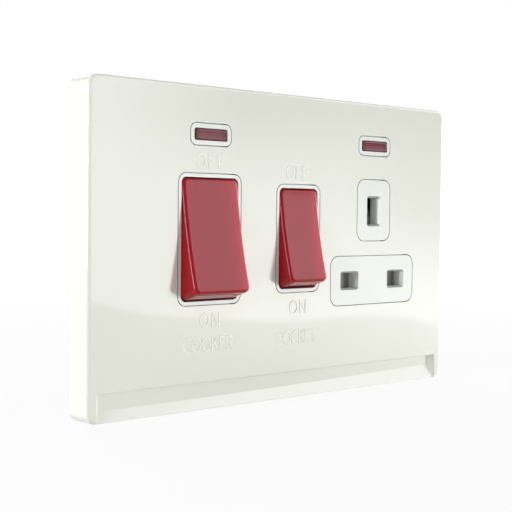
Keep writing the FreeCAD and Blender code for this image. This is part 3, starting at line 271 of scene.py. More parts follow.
# %% Mirrored room
def mirrored_room(tree):
    """Colour by direction: table and wall by height, then the fade, the panel, the right and the back."""
    way = add_node(tree, "ShaderNodeTexCoord").outputs["Generated"]
    across, depth, up = add_node(tree, "ShaderNodeSeparateXYZ", way).outputs
    height = combine(tree, "ADD", up, levels(tree, across, TABLE_EDGE))
    near = levels(tree, height, NEAR_ROOM, TOP_LEVEL)
    far = levels(tree, height, FAR_ROOM, TOP_LEVEL)
    room = blend(tree, spread(tree, across, *NEAR_TO_FAR), near, far)
    fade = spread(tree, across, *DIM_ACROSS, 0.0, DIM_SHARE)
    fade = combine(tree, "MULTIPLY", fade, spread(tree, height, *DIM_HEIGHT))
    room = blend(tree, fade, room, grey(0.0))
    paler = spread(tree, across, *PALER_ACROSS, 0.0, PALER_SHARE)
    paler = combine(tree, "MULTIPLY", paler, spread(tree, height, *TABLE_LINE, 1.0, 0.0))
    room = blend(tree, paler, room, grey(PALER_GREY))
    panel = blend(tree, spread(tree, across, *PANEL_LEFT), grey(DARK_GREY), PANEL_TINT)
    panel = blend(tree, spread(tree, height, *PANEL_TOP), panel, grey(DARK_GREY))
    room = blend(tree, spread(tree, height, *PANEL_FOOT), room, panel)
    room = blend(tree, spread(tree, across, *RIGHT_ACROSS), room, grey(RIGHT_GREY))
    back = blend(tree, spread(tree, across, *BACK_ACROSS), *map(grey, BACK_GREYS))
    back = blend(tree, spread(tree, depth, *BACK_DEPTH), grey(DARK_GREY), back)
    return blend(tree, spread(tree, across, *ROOM_ACROSS), back, room)


print("mirrored room ready")

# %% [markdown]
# The surround itself is white to the camera and an even fill to matt surfaces. Only mirrored rays and rays
# through glass meet the room.

# %% Surround
FILL_LEVEL = 0.43
FILL_TINT = (0.98, 0.99, 1.0)
world = bpy.data.worlds.new("studio")
bpy.context.scene.world = world
world.use_nodes = True
tree = world.node_tree
tree.nodes.clear()
mirrored = add_node(tree, "ShaderNodeBackground", Color=mirrored_room(tree), Strength=TOP_LEVEL)
fill = add_node(tree, "ShaderNodeBackground", Color=FILL_TINT, Strength=FILL_LEVEL)
white = add_node(tree, "ShaderNodeBackground", Color=grey(1.0), Strength=1.0)
rays = add_node(tree, "ShaderNodeLightPath").outputs
sharp = combine(tree, "MAXIMUM", rays["Is Glossy Ray"], rays["Is Transmission Ray"])
inner = add_node(tree, "ShaderNodeMixShader", sharp, fill.outputs[0], mirrored.outputs[0])
outer = add_node(tree, "ShaderNodeMixShader", rays["Is Camera Ray"], inner.outputs[0], white.outputs[0])
world_output = tree.nodes.new("ShaderNodeOutputWorld")
tree.links.new(outer.outputs[0], world_output.inputs["Surface"])
print("surround ready")

# %% [markdown]
# Soft lamps give the shading. Two large ones stand left and right near the plane of the wall, as in a light
# tent: they whiten the plate's edges, rake over the legends and light the sides of the rockers. One low at
# the front right throws the rockers' short shade to the left and stays out of mirrored rays, where it would
# burn a spot into the plate. A weak one at the back only serves views from behind.

# %% Lamps
LAMPS = {
    "left_lamp": {"place": (-1.90, -0.08, 0.35), "size": 0.9, "watts": 28.0},
    "right_lamp": {"place": (1.90, -0.20, 0.25), "size": 0.7, "watts": 10.0},
    "front_lamp": {"place": (1.32, -1.76, 0.08), "size": 0.45, "watts": 34.0},
    "back_lamp": {"place": (0.45, 1.40, 0.60), "size": 0.8, "watts": 9.0},
}


def soft_lamp(name, place, size, watts):
    """A square soft lamp at a place, turned to shine at the origin."""
    data = bpy.data.lights.new(name, "AREA")
    data.size = size
    data.energy = watts
    lamp = bpy.data.objects.new(name, data)
    lamp.location = place
    lamp.rotation_euler = (-Vector(place)).to_track_quat("-Z", "Y").to_euler()
    bpy.context.collection.objects.link(lamp)
    return lamp


lamps = {name: soft_lamp(name, **settings) for name, settings in LAMPS.items()}
lamps["front_lamp"].visible_glossy = False
print("lamps:", ", ".join(lamps))

# %% [markdown]
# ## Moulded plastics
# The plate, the inner carrier, the rockers and the housing are all injection moulded. Up close such a skin
# is never one even colour: the tint drifts slightly, the gloss varies with the flow of the melt, and a very
# fine ripple bends reflections. One recipe gives all of that, and each plastic only changes its tints and
# gloss.

# %% Moulded plastic recipe
DRIFT_GRAIN = 14.0
GLOSS_GRAIN = 84.0
RIPPLE_GRAIN = 55.0
FINE_GRAIN, FINE_SHARE = 900.0, 0.06


def moulded_plastic(name, pale, deep, gloss, ripple, ior=1.5, shade=None):
    """Two close tints mixed by a slow noise, roughness from a quicker one, bump from ripple and grain.

    A shade names an axis and the stops by which the tint rises or falls along it.
    """
    material, tree, place = new_material(name)
    tint = blend(tree, noise(tree, place, DRIFT_GRAIN, detail=3.0), deep, pale)
    if shade:
        axis, stops = shade
        along = add_node(tree, "ShaderNodeSeparateXYZ", place).outputs[axis]
        tint = blend(tree, 1.0, tint, levels(tree, along, stops), blend_type="MULTIPLY")
    ripples = noise(tree, place, RIPPLE_GRAIN, detail=1.0)
    relief = combine(tree, "MULTIPLY_ADD", noise(tree, place, FINE_GRAIN), FINE_SHARE, ripples)
    bump = add_node(tree, "ShaderNodeBump", Height=relief, Strength=1.0, Distance=ripple * MM)
    shader = add_node(
        tree,
        "ShaderNodeBsdfPrincipled",
        Base_Color=tint,
        Roughness=spread(tree, noise(tree, place, GLOSS_GRAIN, detail=4.0), 0.0, 1.0, *gloss),
        Normal=bump.outputs["Normal"],
        IOR=ior,
    )
    finish_surface(tree, shader)
    return material


print("plastic recipe ready")

# %% [markdown]
# The plate is the glossiest. The legends' plastic is the same, but duller, and paler as painted light. The
# carrier's tint also carries painted shade by depth: it is darker on the slopes that lead into the pin
# slots, and falls off a little down the slots' walls.

# %% Plastics
# Painted shade: levels of the carrier's tint by depth in millimetres, dark on the slot lead-ins, then
# falling a little down the slot walls.
THROAT_PAINTED_SHADE = (
    (-8.7, 1.0), (-8.6, 0.76), (-7.46, 0.74), (-7.36, 1.0),
    (-5.1, 0.9), (-4.98, 0.9), (-4.92, 1.0), (4.0, 1.0),
)
throat_painted_shade = tuple((y * MM, level) for y, level in THROAT_PAINTED_SHADE)
cover_plastic = moulded_plastic(
    "cover_plastic",
    pale=(0.690, 0.703, 0.630),
    deep=(0.676, 0.689, 0.615),
    gloss=(0.02, 0.04),
    ripple=0.006,
    ior=1.58,
)
# Paler than the plate: painted light that lifts the raised strokes and the recess facets.
painted_light_word_plastic = moulded_plastic(
    "painted_light_word_plastic", pale=(0.80, 0.81, 0.745), deep=(0.78, 0.79, 0.725), gloss=(0.30, 0.40), ripple=0.006
)
chassis_plastic = moulded_plastic(
    "chassis_plastic",
    pale=(0.695, 0.710, 0.675),
    deep=(0.715, 0.730, 0.692),
    gloss=(0.10, 0.16),
    ripple=0.02,
    shade=("Y", throat_painted_shade),
)
housing_plastic = moulded_plastic(
    "housing_plastic", pale=(0.63, 0.63, 0.60), deep=(0.59, 0.59, 0.56), gloss=(0.38, 0.50), ripple=0.20
)
# The shutter's dark grey is partly its own colour and partly painted shade for the slot floor that it forms.
shutter_plastic = moulded_plastic(
    "shutter_plastic", pale=(0.25, 0.25, 0.24), deep=(0.22, 0.22, 0.21), gloss=(0.35, 0.48), ripple=0.08
)
plunger_plastic = moulded_plastic(
    "plunger_plastic", pale=(0.72, 0.72, 0.68), deep=(0.68, 0.68, 0.63), gloss=(0.32, 0.42), ripple=0.05
)
print("plastics ready")

# %% [markdown]
# The red plastic passes a little light, and that glow is painted into its tint here: near the rockers'
# edges, most of all the right ones, which face the right lamp, the red grows brighter over the last few
# millimetres. The stops are distances from the rocker's left and right edges.

# %% Red plastic
PAINTED_GLOW_TOP = 2.0
# Painted glow: levels by which the red's tint is lifted towards its left and right edges.
LEFT_PAINTED_GLOW = ((0.0, 1.15), (2.4, 1.08), (6.0, 1.0))
RIGHT_PAINTED_GLOW = ((-8.5, 1.0), (-6.4, 1.08), (-4.6, 1.22), (-3.8, 1.36), (-3.0, 1.58), (-2.2, 1.9), (-1.6, 2.0))
RED_PALE, RED_DEEP = (0.272, 0.0052, 0.0100), (0.256, 0.0045, 0.0088)
RED_GLOSS, RED_RIPPLE, RED_IOR = (0.05, 0.09), 0.012, 1.34


def red_for(name):
    """Red whose tint carries a painted glow that grows towards a rocker's left and right edges."""
    left, right = (corner[0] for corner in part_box(name))
    stops = [(left + x * MM, g / PAINTED_GLOW_TOP) for x, g in LEFT_PAINTED_GLOW]
    stops += [(right + x * MM, g / PAINTED_GLOW_TOP) for x, g in RIGHT_PAINTED_GLOW]
    pale, deep = (tuple(np.array(tint) * PAINTED_GLOW_TOP) for tint in (RED_PALE, RED_DEEP))
    return moulded_plastic("red_" + name, pale, deep, RED_GLOSS, RED_RIPPLE, RED_IOR, shade=("X", stops))


reds = {name: red_for(name) for name in ("cooker_rocker", "socket_rocker")}
print("reds:", ", ".join(reds))

# %% [markdown]
# ## Metals
# Inside sit brass strips and terminals, silvery contact faces, steel springs and zinc plated screws. Rolled
# and drawn metal carries fine streaks along one direction, so a noise stretched along that axis marks both
# the roughness and the bump, and a slow noise adds the faint tarnish.

# %% Metals
TARNISH_GRAIN = 120.0
STREAK_GRAIN, STREAK_STRENGTH, STREAK_DEPTH = 20.0, 0.4, 0.04 * MM
ALONG_X, ALONG_Z = (8.0, 160.0, 160.0), (120.0, 120.0, 12.0)


def drawn_metal(name, bright, dull, gloss, squeeze=ALONG_X):
    """Bright and dull tints mixed by a tarnish noise; streaks from a noise squeezed across the grain."""
    material, tree, place = new_material(name)
    tint = blend(tree, noise(tree, place, TARNISH_GRAIN, detail=4.0), dull, bright)
    grain = add_node(tree, "ShaderNodeMapping", Vector=place, Scale=squeeze)
    streak = noise(tree, grain.outputs["Vector"], STREAK_GRAIN, detail=3.0)
    bump = add_node(tree, "ShaderNodeBump", Height=streak, Strength=STREAK_STRENGTH, Distance=STREAK_DEPTH)
    shader = add_node(
        tree,
        "ShaderNodeBsdfPrincipled",
        Base_Color=tint,
        Roughness=spread(tree, streak, 0.0, 1.0, *gloss),
        Normal=bump.outputs["Normal"],
        Metallic=1.0,
    )
    finish_surface(tree, shader)
    return material


brass = drawn_metal("brass", (0.80, 0.60, 0.27), (0.66, 0.47, 0.20), (0.22, 0.38))
contact_metal = drawn_metal("contact_metal", (0.86, 0.85, 0.82), (0.76, 0.75, 0.72), (0.15, 0.30))
spring_steel = drawn_metal("spring_steel", grey(0.60), (0.46, 0.46, 0.47), (0.20, 0.34), ALONG_Z)
screw_steel = drawn_metal("screw_steel", (0.72, 0.71, 0.66), (0.58, 0.57, 0.53), (0.25, 0.42))
print("metals ready")

# %% [markdown]
# ## Neon windows
# The window is a bar of clear red plastic over a small glow lamp. Unlit it looks maroon; its tint carries
# painted light in the middle, for the light that the carrier's white wall behind throws back, and painted
# shade at both ends.

# %% Window finish
NEONS = ("cooker", "socket")
# Painted light in each window's middle and painted shade towards its ends: the tint runs from the middle
# colour to the end colour over this span.
PAINTED_LIGHT_SPAN = (3.6 * MM, 6.0 * MM)
WINDOW_PAINTED_LIGHT, WINDOW_PAINTED_SHADE = (0.160, 0.030, 0.040), (0.065, 0.009, 0.013)
CLOUD_GRAIN, CLOUD_SHARE = 260.0, 0.25
PRISM_SCALE, PRISM_STRENGTH, PRISM_DEPTH = 420.0, 0.5, 0.02 * MM
WINDOW_GLOSS, WINDOW_IOR = (0.08, 0.14), 1.42


def middle(name):
    """Middle of a node's box in metres."""
    low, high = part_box(name)
    return (np.asarray(low, float) + np.asarray(high, float)) / 2


def from_middle(tree, place, centre_x):
    """Distance along X from a piece's middle."""
    x = add_node(tree, "ShaderNodeSeparateXYZ", place).outputs["X"]
    return combine(tree, "ABSOLUTE", combine(tree, "SUBTRACT", x, centre_x))


def window_red(name, centre_x):
    """Maroon with painted light in the middle and painted shade that deepens towards the ends, over fine
    upright prism lines.
    """
    material, tree, place = new_material(name)
    ends = spread(tree, from_middle(tree, place, centre_x), *PAINTED_LIGHT_SPAN)
    deepen = combine(tree, "MULTIPLY_ADD", noise(tree, place, CLOUD_GRAIN), CLOUD_SHARE, ends)
    lines = add_node(tree, "ShaderNodeTexWave", Vector=place, Scale=PRISM_SCALE).outputs["Fac"]
    bump = add_node(tree, "ShaderNodeBump", Height=lines, Strength=PRISM_STRENGTH, Distance=PRISM_DEPTH)
    shader = add_node(
        tree,
        "ShaderNodeBsdfPrincipled",
        Base_Color=blend(tree, deepen, WINDOW_PAINTED_LIGHT, WINDOW_PAINTED_SHADE),
        Roughness=spread(tree, lines, 0.0, 1.0, *WINDOW_GLOSS),
        Normal=bump.outputs["Normal"],
        IOR=WINDOW_IOR,
    )
    finish_surface(tree, shader)
    return material


windows = {n: window_red("window_red_" + n, middle(n + "_neon_lens")[0]) for n in NEONS}
print("windows:", ", ".join(windows))

# %% [markdown]
# Behind each window lie a glow lamp, a tube of clear glass with a faint warm film, and its resistor, which
# wears a tan coat with painted bands between two bare leads.

# %% Lamp and resistor finishes
FILM_GRAIN, FILM_GLOSS = 300.0, (0.03, 0.12)
FILM_WARM, FILM_PALE = (0.86, 0.80, 0.72), (0.95, 0.93, 0.90)
GLASS_CLEAR, GLASS_IOR = 0.8, 1.5
COAT_GRAIN, COAT_DEEP, COAT_PALE = 400.0, (0.54, 0.43, 0.28), (0.62, 0.50, 0.34)
COAT_GLOSS_GRAIN, COAT_GLOSS = 700.0, (0.28, 0.42)
BANDS = ((0.0, 0.2), (0.3, 0.2), (0.32, 1.0), (1.2, 1.0), (1.22, 0.2), (1.8, 0.2), (1.82, 1.0), (6.0, 1.0))
LEAD_START, LEAD_TINT = (3.0 * MM, 3.02 * MM), (0.66, 0.66, 0.64)


def lamp_glass_finish():
    """Clear tube with a faint warm film that noise makes uneven."""
    material, tree, place = new_material("lamp_glass")
    film = noise(tree, place, FILM_GRAIN, detail=3.0)
    shader = add_node(
        tree,
        "ShaderNodeBsdfPrincipled",
        Base_Color=blend(tree, film, FILM_WARM, FILM_PALE),
        Roughness=spread(tree, film, 0.0, 1.0, *FILM_GLOSS),
        Transmission_Weight=GLASS_CLEAR,
        IOR=GLASS_IOR,
    )
    finish_surface(tree, shader)
    return material


def banded_coat(name, centre_x):
    """Tan coat with darker bands at even distances from the middle, and bare tinned leads at its ends."""
    material, tree, place = new_material(name)
    aside = from_middle(tree, place, centre_x)
    coat = blend(tree, noise(tree, place, COAT_GRAIN, detail=3.0), COAT_DEEP, COAT_PALE)
    bands = levels(tree, aside, [(x * MM, level) for x, level in BANDS])
    painted = blend(tree, 1.0, coat, bands, blend_type="MULTIPLY")
    bare = spread(tree, aside, *LEAD_START)
    shader = add_node(
        tree,
        "ShaderNodeBsdfPrincipled",
        Base_Color=blend(tree, bare, painted, LEAD_TINT),
        Roughness=spread(tree, noise(tree, place, COAT_GLOSS_GRAIN), 0.0, 1.0, *COAT_GLOSS),
        Metallic=bare,
    )
    finish_surface(tree, shader)
    return material


lamp_glass = lamp_glass_finish()
coats = {n: banded_coat("resistor_coat_" + n, middle(n + "_neon_resistor")[0]) for n in NEONS}
print("lamp glass and", len(coats), "resistor coats ready")

# %% [markdown]
# ## Finishes on the solids
# Each solid keeps its shape and takes one finish. The groups follow the material slots of the record.

# %% Dress the solids
def dress(finish, *names):
    """Gives the named nodes one finish in place of what they had."""
    for name in names:
        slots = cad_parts[name].data.materials
        slots.clear()
        slots.append(finish)


dress(cover_plastic, "front_cover")
dress(chassis_plastic, "chassis")
dress(housing_plastic, "rear_housing")
for name, red in reds.items():
    dress(red, name)
dress(shutter_plastic, "socket_shutter")
dress(plunger_plastic, "cooker_line_plunger", "cooker_neutral_plunger", "socket_plunger")
dress(spring_steel, "cooker_line_spring", "cooker_neutral_spring", "socket_plunger_spring", "shutter_spring")
brass_ends = ("_arm", "_busbar", "_strip", "_strap", "_terminal")
dress(brass, *(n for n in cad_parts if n.endswith(brass_ends)))
dress(contact_metal, *(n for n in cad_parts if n.endswith(("_tip", "_tips"))))
dress(screw_steel, "terminal_screws", "housing_screws")
for circuit in NEONS:
    dress(windows[circuit], circuit + "_neon_lens")
    dress(lamp_glass, circuit + "_neon_lamp")
    dress(coats[circuit], circuit + "_neon_resistor")
print("dressed", len(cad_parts), "solids")

# %% [markdown]
# ## Surfaces from rings
# The small pieces below are all skins over rows of closed rings: a bead or a wire carries its ring along a
# path, a screw turns its profile, and a window pane shrinks its outline. One helper joins the rings with
# quads and closes both ends, and one carries an oval ring along a path.

# %% Ring helpers
RING_POINTS = 12
RING = np.linspace(0, 2 * np.pi, RING_POINTS, endpoint=False)


def ring_skin(rings, loop=False):
    """Quads between neighbouring rings.

    A loop joins the last ring to the first; otherwise each end closes on the middle of its ring.
    """
    rows, columns, _ = rings.shape
    i, j = np.meshgrid(np.arange(rows if loop else rows - 1), np.arange(columns), indexing="ij")
    k, m = (i + 1) % rows, (j + 1) % columns
    quads = np.stack([i * columns + j, i * columns + m, k * columns + m, k * columns + j], -1).reshape(-1, 4)
    points = rings.reshape(-1, 3)
    if loop:
        return points, quads.tolist()
    edge = np.arange(columns)
    after = (edge + 1) % columns
    first, last = rows * columns, (rows - 1) * columns
    start = np.stack([np.full(columns, first), after, edge], 1)
    stop = np.stack([np.full(columns, first + 1), last + edge, last + after], 1)
    points = np.concatenate([points, rings[[0, -1]].mean(1)])
    return points, quads.tolist() + start.tolist() + stop.tolist()


def carried_rings(path, side, out, half_width, above, below):
    """Oval ring at each path point: point + side * half_width * cos(a) + out * (above or below) * sin(a)."""
    rise = np.where(np.sin(RING) > 0, above, below) * np.sin(RING)
    return (
        path[:, None, :]
        + side[:, None, :] * (half_width * np.cos(RING))[..., None]
        + out[:, None, :] * rise[..., None]
    )


print("rings of", RING_POINTS, "points")

# %% [markdown]
# Groups of points and faces, all in millimetres, become one piece that rides on a body of the frame.

# %% Piece helpers
def box_mm(name):
    """Low and high corner of a node's box in millimetres."""
    return [np.asarray(corner, float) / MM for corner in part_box(name)]


def outward(points, faces):
    """Turns all faces round when the volume they enclose comes out negative."""
    fan = np.array([(f[0], f[k], f[k + 1]) for f in faces for k in range(1, len(f) - 1)])
    a, b, c = (points[fan[:, n]] - points.mean(0) for n in range(3))
    return faces if np.einsum("ij,ij->", a, np.cross(b, c)) > 0 else [f[::-1] for f in faces]


def new_piece(name, groups, finish, body):
    """Joins groups of points in millimetres and faces into one smooth object that rides on a body."""
    points = np.concatenate([p for p, _ in groups])
    starts = np.cumsum([0] + [len(p) for p, _ in groups[:-1]])
    faces = [[n + s for n in f] for s, (p, group) in zip(starts.tolist(), groups) for f in outward(p, group)]
    mesh = bpy.data.meshes.new(name)
    mesh.from_pydata((points * MM).tolist(), [], faces)
    mesh.shade_smooth()
    mesh.materials.append(finish)
    piece = bpy.data.objects.new(name, mesh)
    bpy.context.collection.objects.link(piece)
    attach(piece, body)
    print(name, len(points), "points")
    return piece


print("piece helpers ready")

# %% [markdown]
# ## Finger recess
# The recess along the lower edge starts with a band that lies parallel to the plate, and only below it does
# the floor slope out to the lip. The source keeps a single slope, so a thin band closes its deep corner. All
# the band's edges end inside the cover, and its lower fold is where it meets the slope.

# %% Recess band
RECESS_HEIGHT, RECESS_DEPTH, RECESS_LIP, RECESS_END = 7.8, 3.6, 0.3, 3.3
RECESS_SLOPE = (RECESS_DEPTH - RECESS_LIP) / RECESS_HEIGHT
BAND_DEPTH = (0.000034, 0.0045, 1.78)
BAND_THICK = 0.4
BAND_ROWS, BAND_INSET = 57, 0.1
BAND_SUNK = np.array((0.2, 0.4))
HIDDEN = np.array((0.5, 0.25))


def band_rings(low, high):
    """Boxes along X whose front stands at a depth that is quadratic in X.

    Each box runs half a millimetre past the ledge and the fold, with a second row of points near both ends,
    so that the smooth shading only bends where the cover hides it.
    """
    end = high[0] - RECESS_END
    sunk = end + BAND_SUNK
    x = np.concatenate([-sunk[::-1], np.linspace(BAND_INSET - end, end - BAND_INSET, BAND_ROWS), sunk])
    depth = np.polyval(BAND_DEPTH, x)
    ledge = np.full_like(x, low[2] + RECESS_HEIGHT)
    fold = ledge - (RECESS_DEPTH - depth) / RECESS_SLOPE
    front = low[1] + depth
    back = front + BAND_THICK
    top, under_top = (ledge + h for h in HIDDEN)
    foot, over_foot = (fold - h for h in HIDDEN)
    ring = ((front, top), (front, under_top), (front, over_foot), (front, foot), (back, foot), (back, top))
    return np.stack([np.stack([x, y, z], -1) for y, z in ring], 1)


cover_low, cover_high = box_mm("front_cover")
band = ring_skin(band_rings(cover_low, cover_high))
new_piece("recess_band", [band], cover_plastic, "base")

# %% [markdown]
# The recess ends in a wall that leans back a little, so that it can leave the mould. The source keeps it
# square, so a leaning wedge in front of each end wall, in the legends' plastic, gives the pale facet that
# the photograph shows. The facet's line is given at its front and its deep end, by the distance inside the
# end wall and the depth below the plate.

# %% Recess ends
FACET_FRONT = np.array((-0.02, 0.55))
FACET_DEEP = np.array((1.9, 2.6))
FACET_SHARES = (-0.15, -0.08, 0.0, 0.5, 0.9, 1.0)
FACET_ROOT = 0.4
FACET_FOOT = (0.1, 0.35)
FACET_ROWS, FACET_START, FACET_CLEAR = 9, 0.7, 0.1


def facet_rings(low, high, side):
    """A line from the lip to the deep corner, closed inside the end wall and carried up to the ledge."""
    inset, depth = (FACET_FRONT + np.outer(FACET_SHARES, FACET_DEEP - FACET_FRONT)).T
    x = side * (high[0] - RECESS_END - np.append(inset, -FACET_ROOT))
    y = low[1] + np.append(depth, FACET_DEEP[1])
    rows = np.linspace(FACET_START, RECESS_HEIGHT - FACET_CLEAR, FACET_ROWS)
    z = low[2] + np.concatenate([FACET_FOOT, rows, RECESS_HEIGHT + HIDDEN[::-1]])
    x, z = np.meshgrid(x, z)
    return np.stack([x, np.broadcast_to(y, x.shape), z], -1)


facets = [ring_skin(facet_rings(cover_low, cover_high, side)) for side in (-1, 1)]
# The facets take the legends' paler plastic as painted light, which lifts the end walls out of the recess's
# shade.
new_piece("recess_ends", facets, painted_light_word_plastic, "base")

# %% [markdown]
# ## Raised legends
# The switch positions and the two circuits are named in thin letters that stand a hair above the plate, in
# the plate's own plastic, a little duller, and paler as painted light that lifts the strokes. A font would
# be too wide and too heavy, so each letter is its width and a few pen strokes, drawn at a height of 1.

# %% Letters as pen strokes
def arc(centre_x, centre_z, radius_x, radius_z, start, stop, count=17):
    """Points of an oval arc between two angles in degrees."""
    t = np.radians(np.linspace(start, stop, count))
    return np.stack([centre_x + radius_x * np.cos(t), centre_z + radius_z * np.sin(t)], 1)


def run(*points, spacing=0.08):
    """Straight strokes between corner points, cut into short even steps."""
    points = np.asarray(points, float)
    pieces = []
    for a, b in zip(points[:-1], points[1:]):
        steps = max(2, int(np.linalg.norm(b - a) / spacing))
        pieces.append(a + (b - a) * np.linspace(0, 1, steps, endpoint=False)[:, None])
    return np.concatenate(pieces + [points[-1:]])


STEM = run((0, 0), (0, 1))
TOP_BAR = run((0.02, 1), (0.50, 1))
MIDDLE_BAR = run((0.02, 0.52), (0.42, 0.52))
LOW_BAR = run((0.02, 0), (0.50, 0))
BOWL = np.concatenate(
    [
        run((0.02, 1), (0.26, 1)),
        arc(0.26, 0.76, 0.25, 0.24, 90, -90)[1:],
        run((0.26, 0.52), (0.02, 0.52))[1:],
    ]
)
SNAKE = np.concatenate([arc(0.27, 0.75, 0.25, 0.25, 30, 270), arc(0.25, 0.25, 0.25, 0.25, 90, -150)[1:]])
LETTERS = {
    "O": (0.78, [arc(0.39, 0.5, 0.39, 0.5, 0, 360, 41)]),
    "F": (0.50, [STEM, TOP_BAR, MIDDLE_BAR]),
    "N": (0.62, [STEM, run((0.02, 0.98), (0.60, 0.02)), run((0.62, 0), (0.62, 1))]),
    "C": (0.66, [arc(0.40, 0.5, 0.40, 0.5, 52, 308, 33)]),
    "K": (0.56, [STEM, run((0.53, 1), (0.04, 0.45)), run((0.20, 0.60), (0.56, 0))]),
    "E": (0.50, [STEM, TOP_BAR, MIDDLE_BAR, LOW_BAR]),
    "R": (0.54, [STEM, BOWL, run((0.26, 0.50), (0.54, 0))]),
    "S": (0.52, [SNAKE]),
    "T": (0.56, [run((0, 1), (0.56, 1)), run((0.28, 0.98), (0.28, 0))]),
    "L": (0.48, [STEM, LOW_BAR]),
}
print("letters:", "".join(LETTERS))

# %% [markdown]
# Each stroke becomes an oval bead carried along its path, with rounded ends. A word spreads its letters
# evenly over a width, and a last step stands the flat beads on a face of the part.

# %% Beads
END_INSET = np.array((0.0, 0.3, 1.0))
END_SWELL = (0.02, 0.7)
BEAD_SUNK = 0.05


def bead(path, half_width, lift):
    """Oval bead on the plane of a flat path, its open ends rounded off; x, z and height come back."""
    closed = np.allclose(path[0], path[-1])
    if closed:
        path = path[:-1]
        along = np.roll(path, -1, 0) - np.roll(path, 1, 0)
        swell = np.ones((len(path), 1))
    else:
        first, last = path[1] - path[0], path[-1] - path[-2]
        inset = END_INSET * half_width
        start = path[0] - np.outer(half_width - inset, first / np.linalg.norm(first))
        stop = path[-1] + np.outer(half_width - inset[::-1], last / np.linalg.norm(last))
        path = np.concatenate([start, path[1:-1], stop])
        along = np.gradient(path, axis=0)
        swell = np.ones((len(path), 1))
        swell[[0, -1]], swell[[1, -2]] = END_SWELL
    along /= np.linalg.norm(along, axis=1, keepdims=True)
    flat = np.zeros(len(path))
    path = np.stack([path[:, 0], path[:, 1], flat], 1)
    side = np.stack([along[:, 1], -along[:, 0], flat], 1)
    out = np.broadcast_to((0.0, 0.0, 1.0), path.shape)
    rings = carried_rings(path, side, out, half_width * swell, lift * swell, BEAD_SUNK * swell)
    return ring_skin(rings, closed)


def legend(word, centre, width, height, lift, stroke):
    """Beads of a word whose letters are spread evenly over a width around a centre."""
    widths = [LETTERS[c][0] * height for c in word]
    gap = (width - sum(widths)) / max(len(word) - 1, 1)
    pens = centre[0] - width / 2 + np.cumsum([0.0] + [w + gap for w in widths[:-1]])
    beads = []
    for letter, pen in zip(word, pens):
        for path in LETTERS[letter][1]:
            beads.append(bead(path * height + (pen, centre[1] - height / 2), stroke, lift))
    return beads


def stand_on(groups, surface_y, facing):
    """Turns (x, z, height) beads into place on the face Y = surface_y that looks along facing * Y."""
    return [(np.stack([p[:, 0], surface_y + facing * p[:, 2], p[:, 1]], 1), f) for p, f in groups]


print("bead helpers ready")

# %% [markdown]
# Six words stand on the plate. Each has its centre on the plate, its width and its height in millimetres.

# %% Words on the plate
WORD_LIFT = 0.20
WORD_STROKE = 0.26
WORDS = {
    "legend_cooker_off": ("OFF", (-31.7, 24.6), 10.0, 3.9),
    "legend_cooker_on": ("ON", (-31.6, -20.4), 6.9, 3.9),
    "legend_socket_off": ("OFF", (2.8, 22.6), 9.0, 3.9),
    "legend_socket_on": ("ON", (3.5, -18.3), 6.7, 3.9),
    "legend_cooker": ("COOKER", (-32.1, -27.3), 18.0, 3.7),
    "legend_socket": ("SOCKET", (3.3, -27.5), 16.6, 3.7),
}
for name, (word, centre, width, height) in WORDS.items():
    beads = legend(word, centre, width, height, WORD_LIFT, WORD_STROKE)
    new_piece(name, stand_on(beads, cover_low[1], -1), painted_light_word_plastic, "base")

# %% [markdown]
# The back of the housing carries the terminal letters that every such unit has moulded beside its screws,
# and the faint rings that the mould's ejector pins leave. The letters are turned round to be read from
# behind.

# %% Marks on the back
MARKS = {"supply_neutral": "N", "supply_line": "L", "earth": "E", "cooker_neutral": "N", "cooker_line": "L"}
MARK_HEIGHT, MARK_GAP, MARK_LIFT, MARK_STROKE = 3.4, 5.2, 0.35, 0.30
EJECTOR_PLACES = ((20.0, 24.0), (44.0, 24.0), (20.0, 2.5), (44.0, 2.5), (20.0, -20.0), (-46.0, 2.5))
EJECTOR_RADIUS, EJECTOR_POINTS, EJECTOR_STROKE, EJECTOR_LIFT = 2.4, 49, 0.16, 0.10
beads = []
for terminal, letter in MARKS.items():
    low, high = box_mm(terminal + "_terminal")
    mark_z = high[2] + MARK_GAP if high[2] < 0 else low[2] - MARK_GAP
    width = LETTERS[letter][0] * MARK_HEIGHT
    mid_x = (low[0] + high[0]) / 2
    for p, f in legend(letter, (0, mark_z), width, MARK_HEIGHT, MARK_LIFT, MARK_STROKE):
        beads.append((np.stack([mid_x - p[:, 0], p[:, 1], p[:, 2]], 1), f))
for x, z in EJECTOR_PLACES:
    circle = arc(x, z, EJECTOR_RADIUS, EJECTOR_RADIUS, 0, 360, EJECTOR_POINTS)
    beads.append(bead(circle, EJECTOR_STROKE, EJECTOR_LIFT))
housing_back = box_mm("rear_housing")[1][1]
new_piece("housing_marks", stand_on(beads, housing_back, 1), housing_plastic, "base")

# %% [markdown]
# ## Window panes
# Each neon window ends in a low pane whose border slopes down all round, which is what catches the light
# along its edges. Its outline is a rounded rectangle that shrinks evenly from ring to ring while it rises.
# The steps give how far each ring is set in and how high it stands.

# %% Panes over the windows
PANE_MARGIN = 0.70
PANE_STEPS = (
    (0.0, -0.10), (0.0, 0.04), (0.08, 0.15), (0.20, 0.24), (0.36, 0.28), (0.60, 0.29), (1.50, 0.29),
)
PANE_POINTS = 96
SQUARENESS = 6.0


def pane_rings(centre, half, surface_y):
    """Superellipse rings around a centre, inset by each step and standing out of the window by its rise."""
    t = np.linspace(0, 2 * np.pi, PANE_POINTS, endpoint=False)
    c = np.sign(np.cos(t)) * np.abs(np.cos(t)) ** (2 / SQUARENESS)
    s = np.sign(np.sin(t)) * np.abs(np.sin(t)) ** (2 / SQUARENESS)
    inset, rise = np.array(PANE_STEPS).T[:, :, None]
    x = centre[0] + (half[0] - inset) * c
    z = centre[1] + (half[1] - inset) * s
    return np.stack([x, np.broadcast_to(surface_y - rise, x.shape), z], -1)


